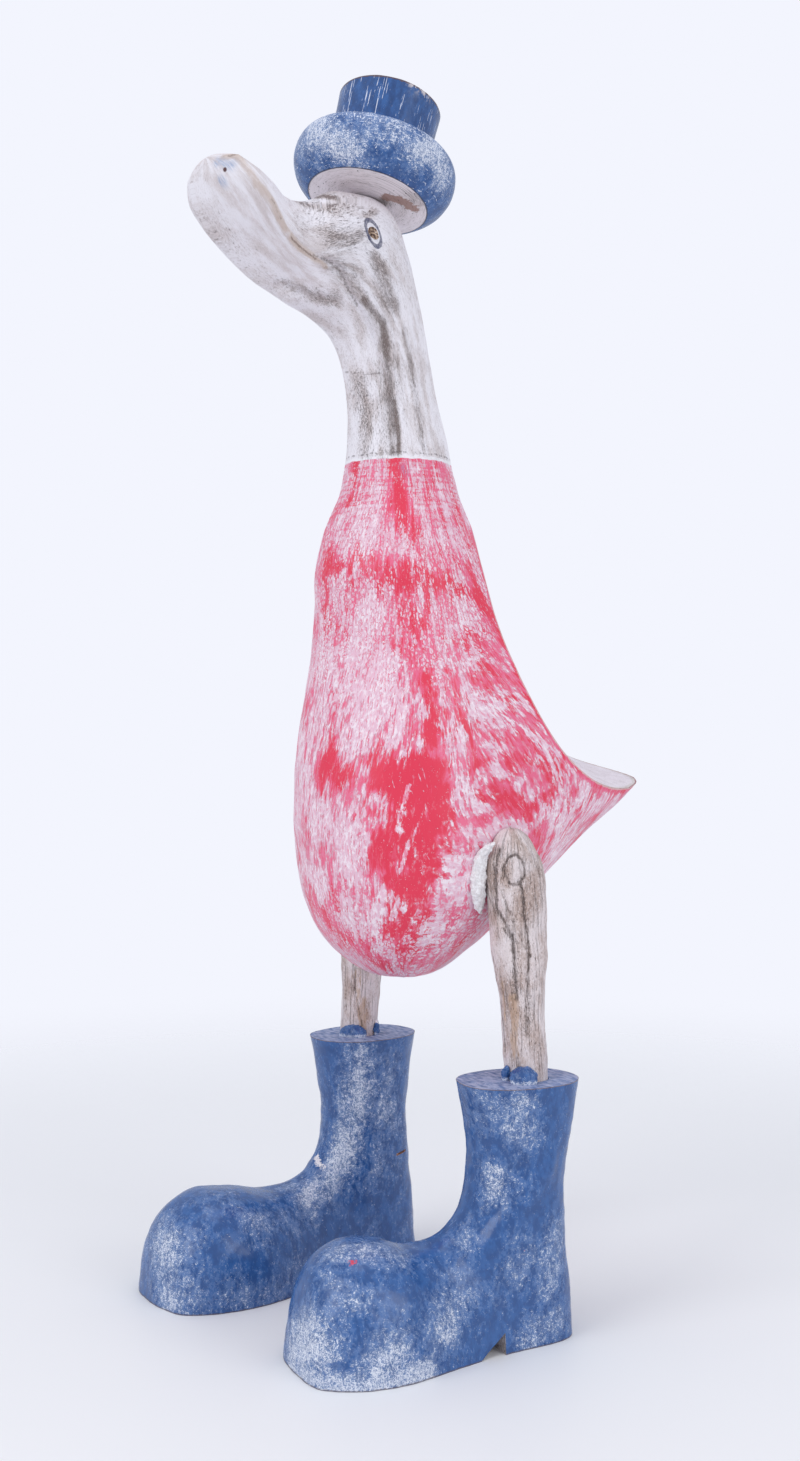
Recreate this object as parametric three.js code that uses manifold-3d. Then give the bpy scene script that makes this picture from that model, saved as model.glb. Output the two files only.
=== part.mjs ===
// A carved wooden duck in boots and a hat, as made from bamboo root and light softwood.
// Millimetres, +Z up. The duck looks along -Y, and its left side is +X.
import * as THREE from "three";
import { mergeVertices } from "three/addons/utils/BufferGeometryUtils.js";
import Module from "manifold-3d";

const wasm = await Module();
wasm.setup();

// Driving dimensions
const GAP = 0.3; // between pieces that are glued together
const BOOT_SPREAD = 55; // each boot's distance from the duck's middle plane
const LEG_SPREAD = 57; // each leg's, at its foot in the boot
const BOOT_HEIGHT = 97;
const SOCKET_DEPTH = 12; // how far a leg is let into its boot
const HEAD_TURN = THREE.MathUtils.degToRad(6); // towards the duck's left
const SIDES_PER_SEGMENT = 2; // an arc in a THREE.Shape has two sides for each curve segment

// Every carved piece is a skin over sections. Each row gives a section's front point (y, z) and
// back point (y, z) on the side profile, its half-width, how far from front to back it is
// widest, and the powers of its superellipse in front of there and behind (2 is an ellipse).

// The duck, from the lowest point of the belly up the neck and out along the bill
const DUCK_SECTIONS = [
  [-15, 129.5, -15, 129.5, 0, 0.5, 2, 2], // lowest point of the belly
  [-31, 132.5, -1, 132.5, 14.5, 0.48, 2, 2],
  [-45.5, 144, 14.5, 144, 30, 0.48, 2, 2],
  [-54, 159, 34, 159, 41, 0.46, 2, 2],
  [-57, 172, 49.5, 172, 45.5, 0.41, 2, 2],
  [-58.6, 187, 70, 187, 47, 0.35, 2, 2],
  [-59, 201, 91, 201, 46.5, 0.3, 2, 2], // under the tail
  [-58.6, 215, 101.5, 215, 46, 0.29, 2, 2], // tail
  [-57, 230, 96, 230, 44.5, 0.3, 2, 2],
  [-54.6, 246, 74, 246, 42, 0.33, 2, 2],
  [-52, 262, 46, 262, 39, 0.39, 2, 2],
  [-51.3, 278, 28, 278, 36.5, 0.46, 2, 2],
  [-51.7, 293, 18.6, 293, 34.5, 0.5, 2, 2], // swell of the breast
  [-47.8, 308, 13.4, 308, 29.8, 0.5, 2, 2],
  [-41.6, 324, 7.4, 324, 24.2, 0.5, 2, 2],
  [-39.2, 340, 3, 340, 20.8, 0.5, 2, 2], // collar
  [-39.4, 358, -1.6, 359, 18.6, 0.5, 2, 2],
  [-42.6, 373, -5.8, 378, 17.8, 0.5, 2, 2],
  [-48.6, 383.5, -10.6, 398, 18, 0.5, 2, 2],
  [-58, 389.5, -16.5, 420, 19, 0.48, 2.1, 2], // cheeks
  [-67.4, 393, -28, 438, 19.6, 0.4, 2.2, 1.9], // eyes
  [-73.6, 398, -49.5, 439.5, 19.4, 0.22, 2.5, 1.7],
  [-81.2, 402.8, -64.5, 432.5, 19.2, 0.2, 2.6, 1.45], // bridge of the bill
  [-91, 409.6, -76.5, 432, 20.5, 0.24, 2.4, 1.5],
  [-100.5, 417.2, -85.5, 435, 22, 0.3, 2.2, 1.7],
  [-107.3, 425, -95, 437.6, 20.5, 0.4, 2, 1.8],
  [-110.6, 434, -103, 440.2, 13, 0.5, 2, 2],
  [-109.2, 439.6, -109.2, 439.6, 0, 0.5, 2, 2], // tip of the bill
];
const DUCK_RINGS = 60;
const DUCK_SIDES = 30;
const EYE = { row: 20, angle: 20, radius: 2.7, sides: 14 }; // round sockets, drilled shallow
// A line is cut from each corner of the bill down over the cheek to the throat, through these
// section rows, at these angles around them.
const CHEEK_LINE = [
  [22.4, -4],
  [21.3, -6],
  [20.6, -14],
  [20, -25],
  [19.4, -35],
  [18.6, -41],
  [17.6, -41],
  [16.4, -38],
  [15.1, -36],
];
const CHEEK_LINE_RADIUS = 1.4;
const CHEEK_LINE_SIDES = 6; // of the round tool that cuts it
const CHEEK_LINE_STEPS = 22;
const HEAD_TURN_FROM = 345; // height where the neck starts to turn
const HEAD_TURN_TO = 425;
const NECK_AXIS_Y = -25;
const TAIL_BEND = 0.0013; // the tail drifts to the left by this times the square of its reach
const TAIL_BEND_FROM = 20;

// The back is a hollow cut. Seen from the side it is a tight arc at the tail, which runs into a
// wide one up the back where it slopes by joinSlope. It leans and slants to the left, where it
// is deepest.
const SCOOP = {
  x: 30,
  lowest: { y: 92.5, z: 204 },
  tailRadius: 70,
  backRadius: 150,
  joinSlope: THREE.MathUtils.degToRad(52),
  lean: THREE.MathUtils.degToRad(13),
  slant: THREE.MathUtils.degToRad(19),
};
const TAIL_SLOPE = Math.PI / 4; // of the hollow where it leaves the tail
const ARC_SIDES = 20; // for each arc of a cut

// The hat is turned. Each row is a radius and a height over its underside.
const HAT_PROFILE = [
  [0, 0],
  [24, 0],
  [26.2, 1.2],
  [30, 5],
  [32.2, 9.5],
  [32.8, 13.5],
  [32.2, 17.5],
  [30.6, 20.2],
  [28, 21.2],
  [20.2, 21.8],
  [20.9, 43.2],
  [0, 43.2],
];
const HAT_SIDES = 32;
const HAT_SEAT = {
  y: -32.4,
  z: 438.4,
  tilt: THREE.MathUtils.degToRad(-16.3), // back
  lean: THREE.MathUtils.degToRad(-3.1), // to the duck's right
};

// A leg, from its foot in the boot up to its rounded top. Heights are over the foot.
const LEG_SECTIONS = [
  [-8.2, 0, 8.2, 0, 8, 0.5, 2.2, 2.2],
  [-8.2, 20, 8.2, 20, 8, 0.5, 2.2, 2.2],
  [-9, 42, 9, 42, 8.4, 0.5, 2.2, 2.2],
  [-11.3, 58, 11, 58, 9.6, 0.5, 2.2, 2.2],
  [-12.3, 76, 11.3, 76, 10, 0.5, 2.2, 2.2],
  [-12.8, 92, 10.6, 92, 10, 0.5, 2.2, 2.2],
  [-10, 101, 6.6, 101, 8.4, 0.5, 2, 2],
  [-6, 106, 2.4, 106, 4.6, 0.5, 2, 2],
  [-1.8, 107.3, -1.8, 107.3, 0, 0.5, 2, 2],
];
const LEG_RINGS = 18;
const LEG_SIDES = 16;
const LEG_LEAN = 0.08; // inward for each millimetre up

// A boot, from the toe cap back along the foot and up the shaft. The front point is on the instep,
// the back point on the sole or heel. The sole is cut flat at z = 0.
const BOOT_SECTIONS = [
  [-102, 6, -102, 4, 0, 0.5, 2, 2],
  [-98, 26, -101, -12, 16, 0.6, 2.3, 2.3],
  [-91.2, 36, -94, -17, 23.5, 0.62, 2.4, 2.4],
  [-79, 41.5, -80, -18, 28.3, 0.64, 2.4, 2.4],
  [-63, 40.5, -63, -18, 28.8, 0.64, 2.4, 2.4],
  [-51, 37.2, -38, -18, 24.5, 0.64, 2.5, 2.5],
  [-40, 37.2, -8, -18, 18, 0.6, 2.6, 2.6],
  [-32, 39.2, 22, -14, 15.5, 0.56, 2.6, 2.6],
  [-26, 43, 24.3, 12, 15.8, 0.52, 2.4, 2.4],
  [-20.7, 51, 22, 38, 16, 0.5, 2.2, 2.2],
  [-19, 64, 20, 62, 16, 0.5, 2.2, 2.2],
  [-20.5, 80, 21.5, 80, 16.6, 0.5, 2.3, 2.3],
  [-24, 97, 24, 97, 18.5, 0.5, 2.3, 2.3],
];
const BOOT_RINGS = 31;
const BOOT_SIDES = 22;
const HEEL_NOTCH = { heelFront: -13.5, length: 11, height: 8 }; // sawn in front of the heel

// The two boots are carved by eye: the left foot is shorter and higher, turned in and set forward.
// Those differences come in over these stretches in front of the shaft, and below its top.
const SIDES = [
  { name: "left", side: 1, turnIn: 9.5, length: 0.89, width: 0.93, height: 1.08, set: 3.5, legY: 3.4 },
  { name: "right", side: -1, turnIn: 2, length: 1, width: 1, height: 1, set: 0, legY: -1.2 },
];
const FOOT_GROWS = { from: 15, to: 70 }; // in length and width
const INSTEP_GROWS = { from: 10, to: 40 }; // in height
const SHAFT_FROM = 20; // height where the foot runs into the shaft

const DUCK_CLEAR = 300; // a cutting tool's size where it passes right through the duck
const BOOT_CLEAR = 80; // and through a boot

// Catmull-Rom through the rows, column by column.
function along(rows, t) {
  const at = t * (rows.length - 1);
  const i = Math.min(Math.floor(at), rows.length - 2);
  const u = at - i;
  const [a, b, c, d] = [-1, 0, 1, 2].map(
    (k) => rows[THREE.MathUtils.clamp(i + k, 0, rows.length - 1)],
  );
  return b.map(
    (_, k) =>
      0.5 *
      (2 * b[k] +
        (c[k] - a[k]) * u +
        (2 * a[k] - 5 * b[k] + 4 * c[k] - d[k]) * u * u +
        (3 * b[k] - a[k] - 3 * c[k] + d[k]) * u * u * u),
  );
}

// A point at an angle around a section's superellipse. grow swells the section all round.
function ringPoint(section, angle, grow) {
  const [fy, fz, by, bz, half, widest, powerFront, powerBack] = section;
  const front = new THREE.Vector3(0, fy, fz);
  const depth = new THREE.Vector3(0, by - fy, bz - fz);
  const long = depth.length();
  depth.normalize();
  const [c, s] = [Math.cos(angle), Math.sin(angle)];
  const reach = (s > 0 ? long * (1 - widest) : long * widest) + grow;
  const power = s > 0 ? powerBack : powerFront;
  const x = Math.sign(c) * Math.abs(c) ** (2 / power) * (half + grow);
  const d = Math.sign(s) * Math.abs(s) ** (2 / power) * reach;
  return front.addScaledVector(depth, long * widest + d).setX(x);
}

function ring(section, sides, grow) {
  const step = (2 * Math.PI) / sides;
  return Array.from({ length: sides }, (_, k) => ringPoint(section, k * step, grow));
}

// A closed skin over the sections. A flat end keeps its last ring, a round one shrinks to a point.
function loft(rows, { rings, sides, flatStart = false, flatEnd = false, grow = 0, bend = (p) => p }) {
  const first = flatStart ? 0 : 1;
  const last = flatEnd ? rings : rings - 1;
  const middle = ([fy, fz, by, bz]) => new THREE.Vector3(0, (fy + by) / 2, (fz + bz) / 2);
  const points = [middle(along(rows, 0))];
  for (let i = first; i <= last; i++) {
    points.push(...ring(along(rows, i / rings), sides, grow));
  }
  points.push(middle(along(rows, 1)));
  const index = [];
  const count = last - first + 1;
  const at = (i, k) => 1 + i * sides + (k % sides);
  for (let k = 0; k < sides; k++) {
    index.push(0, at(0, k + 1), at(0, k));
    for (let i = 0; i + 1 < count; i++) {
      index.push(at(i, k), at(i, k + 1), at(i + 1, k + 1));
      index.push(at(i, k), at(i + 1, k + 1), at(i + 1, k));
    }
    index.push(points.length - 1, at(count - 1, k), at(count - 1, k + 1));
  }
  const geometry = new THREE.BufferGeometry().setFromPoints(points.map(bend));
  geometry.setIndex(index);
  return geometry;
}

// Between three.js geometry and exact solids
function solid(geometry) {
  const bare = new THREE.BufferGeometry().setAttribute("position", geometry.getAttribute("position"));
  bare.setIndex(geometry.index);
  const merged = mergeVertices(bare, 1e-4);
  return new wasm.Manifold(
    new wasm.Mesh({
      numProp: 3,
      vertProperties: new Float32Array(merged.attributes.position.array),
      triVerts: new Uint32Array(merged.index.array),
    }),
  );
}

function shape(made) {
  const mesh = made.getMesh();
  const geometry = new THREE.BufferGeometry();
  geometry.setAttribute("position", new THREE.BufferAttribute(mesh.vertProperties, 3));
  geometry.setIndex(new THREE.BufferAttribute(mesh.triVerts, 1));
  geometry.computeVertexNormals();
  return geometry;
}

// The neck and head turn to the left, more and more up the neck, and the tail bends to the left.
function poseDuck(p) {
  const share = THREE.MathUtils.smoothstep(p.z, HEAD_TURN_FROM, HEAD_TURN_TO);
  const pivot = new THREE.Vector3(0, NECK_AXIS_Y, 0);
  p.sub(pivot).applyAxisAngle(new THREE.Vector3(0, 0, 1), share * HEAD_TURN).add(pivot);
  p.x += TAIL_BEND * Math.max(0, p.y - TAIL_BEND_FROM) ** 2;
  return p;
}

function duckSolid(grow = 0) {
  return solid(
    loft(DUCK_SECTIONS, { rings: DUCK_RINGS, sides: DUCK_SIDES, grow, bend: poseDuck }),
  );
}

// A point on the duck's skin, on a section row, at an angle around it from the duck's left side.
// The angle is positive towards the back.
function onSkin(row, degrees, side) {
  const section = along(DUCK_SECTIONS, row / (DUCK_SECTIONS.length - 1));
  const p = ringPoint(section, THREE.MathUtils.degToRad(degrees), 0);
  p.x *= side;
  return poseDuck(p);
}

function eyeSocket(side) {
  const geometry = new THREE.SphereGeometry(EYE.radius, EYE.sides, EYE.sides);
  const centre = onSkin(EYE.row, EYE.angle, side);
  return geometry.translate(centre.x, centre.y, centre.z);
}

function cheekLine(side) {
  const path = new THREE.CatmullRomCurve3(
    CHEEK_LINE.map(([row, degrees]) => onSkin(row, degrees, side)),
  );
  const tool = new THREE.Shape();
  tool.absarc(0, 0, CHEEK_LINE_RADIUS, 0, 2 * Math.PI);
  return new THREE.ExtrudeGeometry(tool, {
    steps: CHEEK_LINE_STEPS,
    curveSegments: CHEEK_LINE_SIDES / SIDES_PER_SEGMENT,
    extrudePath: path,
    bevelEnabled: false,
  });
}

function scoop() {
  const { x, lowest, tailRadius, backRadius, joinSlope, lean, slant } = SCOOP;
  const wider = backRadius - tailRadius;
  const centre = new THREE.Vector2(
    wider * Math.sin(joinSlope),
    tailRadius + wider * Math.cos(joinSlope),
  );
  const clockwise = true;
  const down = -Math.PI / 2;
  const join = down - joinSlope;
  const profile = new THREE.Shape();
  profile.absarc(0, tailRadius, tailRadius, down + TAIL_SLOPE, join, clockwise);
  profile.absarc(centre.x, centre.y, backRadius, join, -Math.PI, clockwise);
  profile.lineTo(centre.x - backRadius, backRadius);
  profile.lineTo(backRadius, backRadius);
  const geometry = acrossDuck(profile, DUCK_CLEAR);
  geometry.rotateY(lean);
  geometry.rotateZ(-slant);
  return geometry.translate(x, lowest.y, lowest.z);
}

// A side profile, drawn in y and z, drawn out from side to side
function acrossDuck(profile, width) {
  const curveSegments = ARC_SIDES / SIDES_PER_SEGMENT;
  const options = { depth: width, bevelEnabled: false, curveSegments };
  const geometry = new THREE.ExtrudeGeometry(profile, options);
  geometry.translate(0, 0, -width / 2);
  return geometry.rotateX(Math.PI / 2).rotateZ(Math.PI / 2);
}

function hat() {
  const profile = HAT_PROFILE.map(([radius, height]) => new THREE.Vector2(radius, height));
  const geometry = new THREE.LatheGeometry(profile, HAT_SIDES);
  geometry.rotateX(Math.PI / 2);
  seatHat(geometry);
  return geometry;
}

function seatHat(geometry) {
  geometry.rotateX(HAT_SEAT.tilt);
  geometry.rotateY(HAT_SEAT.lean);
  geometry.translate(0, HAT_SEAT.y, HAT_SEAT.z);
}

// Everything above the hat's underside, where the head is sawn flat
function aboveHatSeat() {
  const geometry = new THREE.BoxGeometry(DUCK_CLEAR, DUCK_CLEAR, DUCK_CLEAR);
  geometry.translate(0, 0, DUCK_CLEAR / 2 - GAP);
  seatHat(geometry);
  return geometry;
}

function leg({ side, legY }, grow = 0) {
  const geometry = loft(LEG_SECTIONS, { rings: LEG_RINGS, sides: LEG_SIDES, flatStart: true, grow });
  geometry.applyMatrix4(new THREE.Matrix4().makeShear(0, 0, 0, 0, -LEG_LEAN * side, 0));
  geometry.translate(side * LEG_SPREAD, legY, BOOT_HEIGHT - SOCKET_DEPTH);
  return geometry;
}

function boot(which) {
  const { length, width, height, set } = which;
  const { smoothstep, lerp } = THREE.MathUtils;
  function shapeFoot(p) {
    const forward = smoothstep(-p.y, FOOT_GROWS.from, FOOT_GROWS.to);
    const overInstep = smoothstep(-p.y, INSTEP_GROWS.from, INSTEP_GROWS.to);
    const down = 1 - smoothstep(p.z, SHAFT_FROM, BOOT_HEIGHT);
    p.z *= lerp(1, height, overInstep * down);
    p.x *= lerp(1, width, forward);
    p.y *= lerp(1, length, forward);
    p.y -= set * down * (1 - forward);
    return p;
  }
  const size = { rings: BOOT_RINGS, sides: BOOT_SIDES };
  return placeBoot(loft(BOOT_SECTIONS, { ...size, flatEnd: true, bend: shapeFoot }), which);
}

// A three-sided saw cut across the sole, upright at the heel. Its tool starts below the ground.
function heelNotch(which) {
  const { heelFront, length, height } = HEEL_NOTCH;
  const below = 1;
  const profile = new THREE.Shape([
    new THREE.Vector2(heelFront, height),
    new THREE.Vector2(heelFront - (length * (height + below)) / height, -below),
    new THREE.Vector2(heelFront, -below),
  ]);
  return placeBoot(acrossDuck(profile, BOOT_CLEAR), which);
}

function placeBoot(geometry, { side, turnIn }) {
  geometry.rotateZ(THREE.MathUtils.degToRad(-turnIn * side));
  return geometry.translate(side * BOOT_SPREAD, 0, 0);
}

const group = new THREE.Group();
function add(name, geometry, color) {
  const material = new THREE.MeshStandardMaterial({ color, roughness: 0.6, metalness: 0 });
  const mesh = new THREE.Mesh(geometry, material);
  mesh.name = name;
  group.add(mesh);
}

const duckCuts = [scoop(), aboveHatSeat(), eyeSocket(1), eyeSocket(-1), cheekLine(1), cheekLine(-1)];
const carvedDuck = duckCuts.reduce((duck, cut) => duck.subtract(solid(cut)), duckSolid());
add("duck_body", shape(carvedDuck), 0xd8344f);
add("hat", hat(), 0x2f5c9c);
const duckWithGap = duckSolid(GAP);
const ground = new THREE.BoxGeometry(DUCK_CLEAR, DUCK_CLEAR, DUCK_CLEAR);
ground.translate(0, 0, -DUCK_CLEAR / 2);
for (const which of SIDES) {
  add(which.name + "_leg", shape(solid(leg(which)).subtract(duckWithGap)), 0xcfc7c4);
  const carvedBoot = solid(boot(which))
    .subtract(solid(ground))
    .subtract(solid(heelNotch(which)))
    .subtract(solid(leg(which, GAP)));
  add(which.name + "_boot", shape(carvedBoot), 0x2f5c9c);
}

// The origin is on the ground, under the middle of the whole duck.
const box = new THREE.Box3().setFromObject(group);
const middle = box.getCenter(new THREE.Vector3());
group.position.set(-middle.x, -middle.y, -box.min.z);

export default group;
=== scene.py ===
# A carved wooden duck in boots and a hat, painted and rubbed over with white. The rows, sizes and
# places below are in millimetres, with +Z up. The duck looks along -Y, and its left side is +X.
import math

import bpy
import numpy as np
from mathutils import Matrix, Vector, kdtree, noise


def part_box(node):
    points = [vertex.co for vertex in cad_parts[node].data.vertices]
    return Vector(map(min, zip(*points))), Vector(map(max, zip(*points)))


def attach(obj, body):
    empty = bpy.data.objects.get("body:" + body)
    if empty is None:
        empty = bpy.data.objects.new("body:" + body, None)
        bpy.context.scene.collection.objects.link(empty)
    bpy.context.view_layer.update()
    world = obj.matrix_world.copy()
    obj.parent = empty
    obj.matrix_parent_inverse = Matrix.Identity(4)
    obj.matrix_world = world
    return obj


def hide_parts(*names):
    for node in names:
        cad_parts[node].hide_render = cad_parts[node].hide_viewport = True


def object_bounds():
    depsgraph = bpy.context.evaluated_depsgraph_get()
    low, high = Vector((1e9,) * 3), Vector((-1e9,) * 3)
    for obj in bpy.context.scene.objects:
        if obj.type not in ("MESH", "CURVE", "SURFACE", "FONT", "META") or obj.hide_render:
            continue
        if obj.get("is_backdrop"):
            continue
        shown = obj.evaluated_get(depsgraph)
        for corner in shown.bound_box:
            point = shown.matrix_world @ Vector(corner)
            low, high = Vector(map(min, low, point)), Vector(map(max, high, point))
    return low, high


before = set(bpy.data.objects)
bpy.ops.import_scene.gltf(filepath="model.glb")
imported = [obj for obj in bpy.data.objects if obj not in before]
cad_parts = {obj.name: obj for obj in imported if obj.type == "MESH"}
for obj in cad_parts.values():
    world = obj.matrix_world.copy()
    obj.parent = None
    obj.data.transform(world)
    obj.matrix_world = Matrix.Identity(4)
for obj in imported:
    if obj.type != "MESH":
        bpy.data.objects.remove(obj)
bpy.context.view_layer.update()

# The duck is one piece, its body of bamboo root run up into the neck, the head and the bill. It
# is carved with a knife, sanded, and hollowed out at the back with one long slanting cut. The
# body is painted red and the head only rubbed with white.
MM = 0.001
CENTRE = np.array([3.8924, 5.7676, 0.0])  # from the middle between the legs to the origin

# Each row gives a section's front point (y, z) and back point (y, z) on the side profile, its
# half-width, how far from front to back it is widest, and the powers of its superellipse in
# front of there and behind.
DUCK_SECTIONS = [
    [-15, 129.5, -15, 129.5, 0, 0.5, 2, 2],  # lowest point of the belly
    [-31, 132.5, -1, 132.5, 14.5, 0.48, 2, 2],
    [-45.5, 144, 14.5, 144, 30, 0.48, 2, 2],
    [-54, 159, 34, 159, 41, 0.46, 2, 2],
    [-57, 172, 49.5, 172, 45.5, 0.41, 2, 2],
    [-58.6, 187, 70, 187, 47, 0.35, 2, 2],
    [-59, 201, 91, 201, 46.5, 0.3, 2, 2],  # under the tail
    [-58.6, 215, 101.5, 215, 46, 0.29, 2, 2],  # tail
    [-57, 230, 96, 230, 44.5, 0.3, 2, 2],
    [-54.6, 246, 74, 246, 42, 0.33, 2, 2],
    [-52, 262, 46, 262, 39, 0.39, 2, 2],
    [-51.3, 278, 28, 278, 36.5, 0.46, 2, 2],
    [-51.7, 293, 18.6, 293, 34.5, 0.5, 2, 2],  # swell of the breast
    [-47.8, 308, 13.4, 308, 29.8, 0.5, 2, 2],
    [-41.6, 324, 7.4, 324, 24.2, 0.5, 2, 2],
    [-39.2, 340, 3, 340, 20.8, 0.5, 2, 2],  # collar
    [-39.4, 358, -1.6, 359, 18.6, 0.5, 2, 2],
    [-42.6, 373, -5.8, 378, 17.8, 0.5, 2, 2],
    [-48.6, 383.5, -10.6, 398, 18, 0.5, 2, 2],
    [-58, 389.5, -16.5, 420, 19, 0.48, 2.1, 2],  # cheeks
    [-67.4, 393, -28, 438, 19.6, 0.4, 2.2, 1.9],  # eyes
    [-73.6, 398, -49.5, 439.5, 19.4, 0.22, 2.5, 1.7],
    [-81.2, 402.8, -64.5, 432.5, 19.2, 0.2, 2.6, 1.45],  # bridge of the bill
    [-91, 409.6, -76.5, 432, 20.5, 0.24, 2.4, 1.5],
    [-100.5, 417.2, -85.5, 435, 22, 0.3, 2.2, 1.7],
    [-107.3, 425, -95, 437.6, 20.5, 0.4, 2, 1.8],
    [-110.6, 434, -103, 440.2, 13, 0.5, 2, 2],
    [-109.2, 439.6, -109.2, 439.6, 0, 0.5, 2, 2],  # tip of the bill
]
LOWEST_POINT = (0, -15.0, 129.5)
BILL_TIP = (0, -109.2, 439.6)
DUCK_RINGS = 330
DUCK_SIDES = 236
HEAD_FROM = 17  # section row; from here the rings lie closer
HEAD_FINENESS = 1.5
HEAD_TURN = math.radians(6)
HEAD_TURN_HEIGHTS = (345, 425)
NECK_AXIS_Y = -25
TAIL_BEND = 0.0013
TAIL_BEND_FROM = 20
GAP = 0.3  # between pieces that are glued together
EYE = {"row": 20, "angle": 20, "radius": 2.7}
CHEEK_LINE = [
    (22.4, -4),
    (21.3, -6),
    (20.6, -14),
    (20, -25),
    (19.4, -35),
    (18.6, -41),
    (17.6, -41),
    (16.4, -38),
    (15.1, -36),
]
CHEEK_LINE_WIDTH = 1.5
CHEEK_LINE_DEPTH = 1.3


def along(rows, t):
    """Catmull-Rom through the rows, column by column, at each t from 0 to 1."""
    rows = np.array(rows, float)
    at = np.asarray(t) * (len(rows) - 1)
    i = np.minimum(at.astype(int), len(rows) - 2)
    u = (at - i)[:, None]
    a, b, c, d = (rows[np.clip(i + k, 0, len(rows) - 1)] for k in (-1, 0, 1, 2))
    bent = (2 * a - 5 * b + 4 * c - d) * u**2 + (3 * b - a - 3 * c + d) * u**3
    return (2 * b + (c - a) * u + bent) / 2


def skin(rows, t, turn, grow=0):
    """A ring of points round the sections for each t, at these angles from the left side."""
    fy, fz, by, bz, half, widest, power_front, power_back = along(rows, t).T[:, :, None]
    cos, sin = np.cos(turn), np.sin(turn)
    long = np.hypot(by - fy, bz - fz) + 1e-9
    reach = np.where(sin > 0, long * (1 - widest), long * widest) + grow
    power = np.where(sin > 0, power_back, power_front)
    x = np.sign(cos) * np.abs(cos) ** (2 / power) * (half + grow)
    d = np.sign(sin) * np.abs(sin) ** (2 / power) * reach + long * widest
    return np.stack([x, fy + (by - fy) / long * d, fz + (bz - fz) / long * d], -1)


def even_rings(rows, rings, finer_from=None, fineness=1):
    """Values of t that part the skin evenly lengthwise, or more finely from one row on."""
    fine = np.linspace(0, 1, 1600)
    steps = np.diff(skin(rows, fine, np.linspace(0, 2 * np.pi, 24)), axis=0)
    steps = np.linalg.norm(steps, axis=2).max(1)
    if finer_from is not None:
        steps = np.where(fine[1:] * (len(rows) - 1) > finer_from, steps * fineness, steps)
    run = np.append(0, np.cumsum(steps))
    return np.interp(np.linspace(0, 1, rings + 1), run / run[-1], fine)


def even_turn(rows, t, sides):
    """Angles that part each section evenly, from the middle of its front."""
    fine = np.linspace(-np.pi / 2, 1.5 * np.pi, 600)
    steps = np.linalg.norm(np.diff(skin(rows, t, fine), axis=1), axis=2)
    run = np.concatenate([np.zeros((len(t), 1)), np.cumsum(steps, axis=1)], axis=1)
    share = np.arange(sides) / sides
    return np.array([np.interp(share * one[-1], one, fine) for one in run])


def outward(grid):
    """The direction out of the skin at each point of its rings."""
    normal = np.cross(np.roll(grid, -1, 1) - np.roll(grid, 1, 1), np.gradient(grid, axis=0))
    return normal / (np.linalg.norm(normal, axis=-1, keepdims=True) + 1e-12)


def smooth(value, low, high):
    u = np.clip((value - low) / (high - low), 0, 1)
    return u * u * (3 - 2 * u)


def lumps(points, size, seed, stretch=(1, 1, 1), octaves=3):
    """Random heights of about -1 to 1, in smooth lumps of this size."""
    flat = points.reshape(-1, 3) / (np.array(stretch) * size) + seed * 17.31
    heights = [noise.fractal(Vector(p), 1.0, 2.0, octaves) for p in flat]
    return np.array(heights).reshape(points.shape[:-1])


def near_path(points, path, width):
    """1 on the path and less and less away from it."""
    flat = points.reshape(-1, 3)
    nearest = np.full(len(flat), 1e9)
    for a, b in zip(path[:-1], path[1:]):
        a, b = np.array(a, float), np.array(b, float)
        share = np.clip((flat - a) @ (b - a) / ((b - a) @ (b - a)), 0, 1)
        nearest = np.minimum(nearest, np.linalg.norm(flat - a - share[:, None] * (b - a), axis=1))
    return np.exp(-((nearest / width) ** 2)).reshape(points.shape[:-1])


def pose_duck(points):
    """Turns the neck and head to the left, and bends the tail to the left."""
    angle = smooth(points[..., 2], *HEAD_TURN_HEIGHTS) * HEAD_TURN
    x, y = points[..., 0], points[..., 1] - NECK_AXIS_Y
    turned_y = x * np.sin(angle) + y * np.cos(angle) + NECK_AXIS_Y
    turned_x = x * np.cos(angle) - y * np.sin(angle)
    turned_x = turned_x + TAIL_BEND * np.maximum(0, turned_y - TAIL_BEND_FROM) ** 2
    return np.stack([turned_x, turned_y, points[..., 2]], -1) + CENTRE


def on_duck(row, degrees, side=1):
    """A point on the duck's skin, on a section row, at an angle from its left or right side."""
    t = np.array([row / (len(DUCK_SECTIONS) - 1)])
    point = skin(DUCK_SECTIONS, t, np.radians([degrees]))[0, 0]
    return pose_duck(point * (side, 1, 1))


def mesh_object(name, points, faces, *materials):
    mesh = bpy.data.meshes.new(name)
    mesh.from_pydata((np.asarray(points) * MM).tolist(), [], faces)
    for material in materials:
        mesh.materials.append(material)
    made = bpy.data.objects.new(name, mesh)
    bpy.context.scene.collection.objects.link(made)
    return made


def closed_skin(name, grid, start, end, *materials):
    """A closed mesh over rings of points, from a start point to an end point."""
    rings, sides = grid.shape[:2]
    points = np.concatenate([[start], grid.reshape(-1, 3), [end]])
    k = np.arange(sides)
    after = (k + 1) % sides
    low = 1 + sides * np.arange(rings - 1)[:, None]
    quads = np.stack([low + k, low + after, low + sides + after, low + sides + k], -1)
    top = 1 + sides * (rings - 1)
    first = np.stack([np.zeros_like(k), 1 + after, 1 + k], -1)
    last = np.stack([np.full_like(k, len(points) - 1), top + k, top + after], -1)
    faces = first.tolist() + quads.reshape(-1, 4).tolist() + last.tolist()
    return mesh_object(name, points, faces, *materials)


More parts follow.
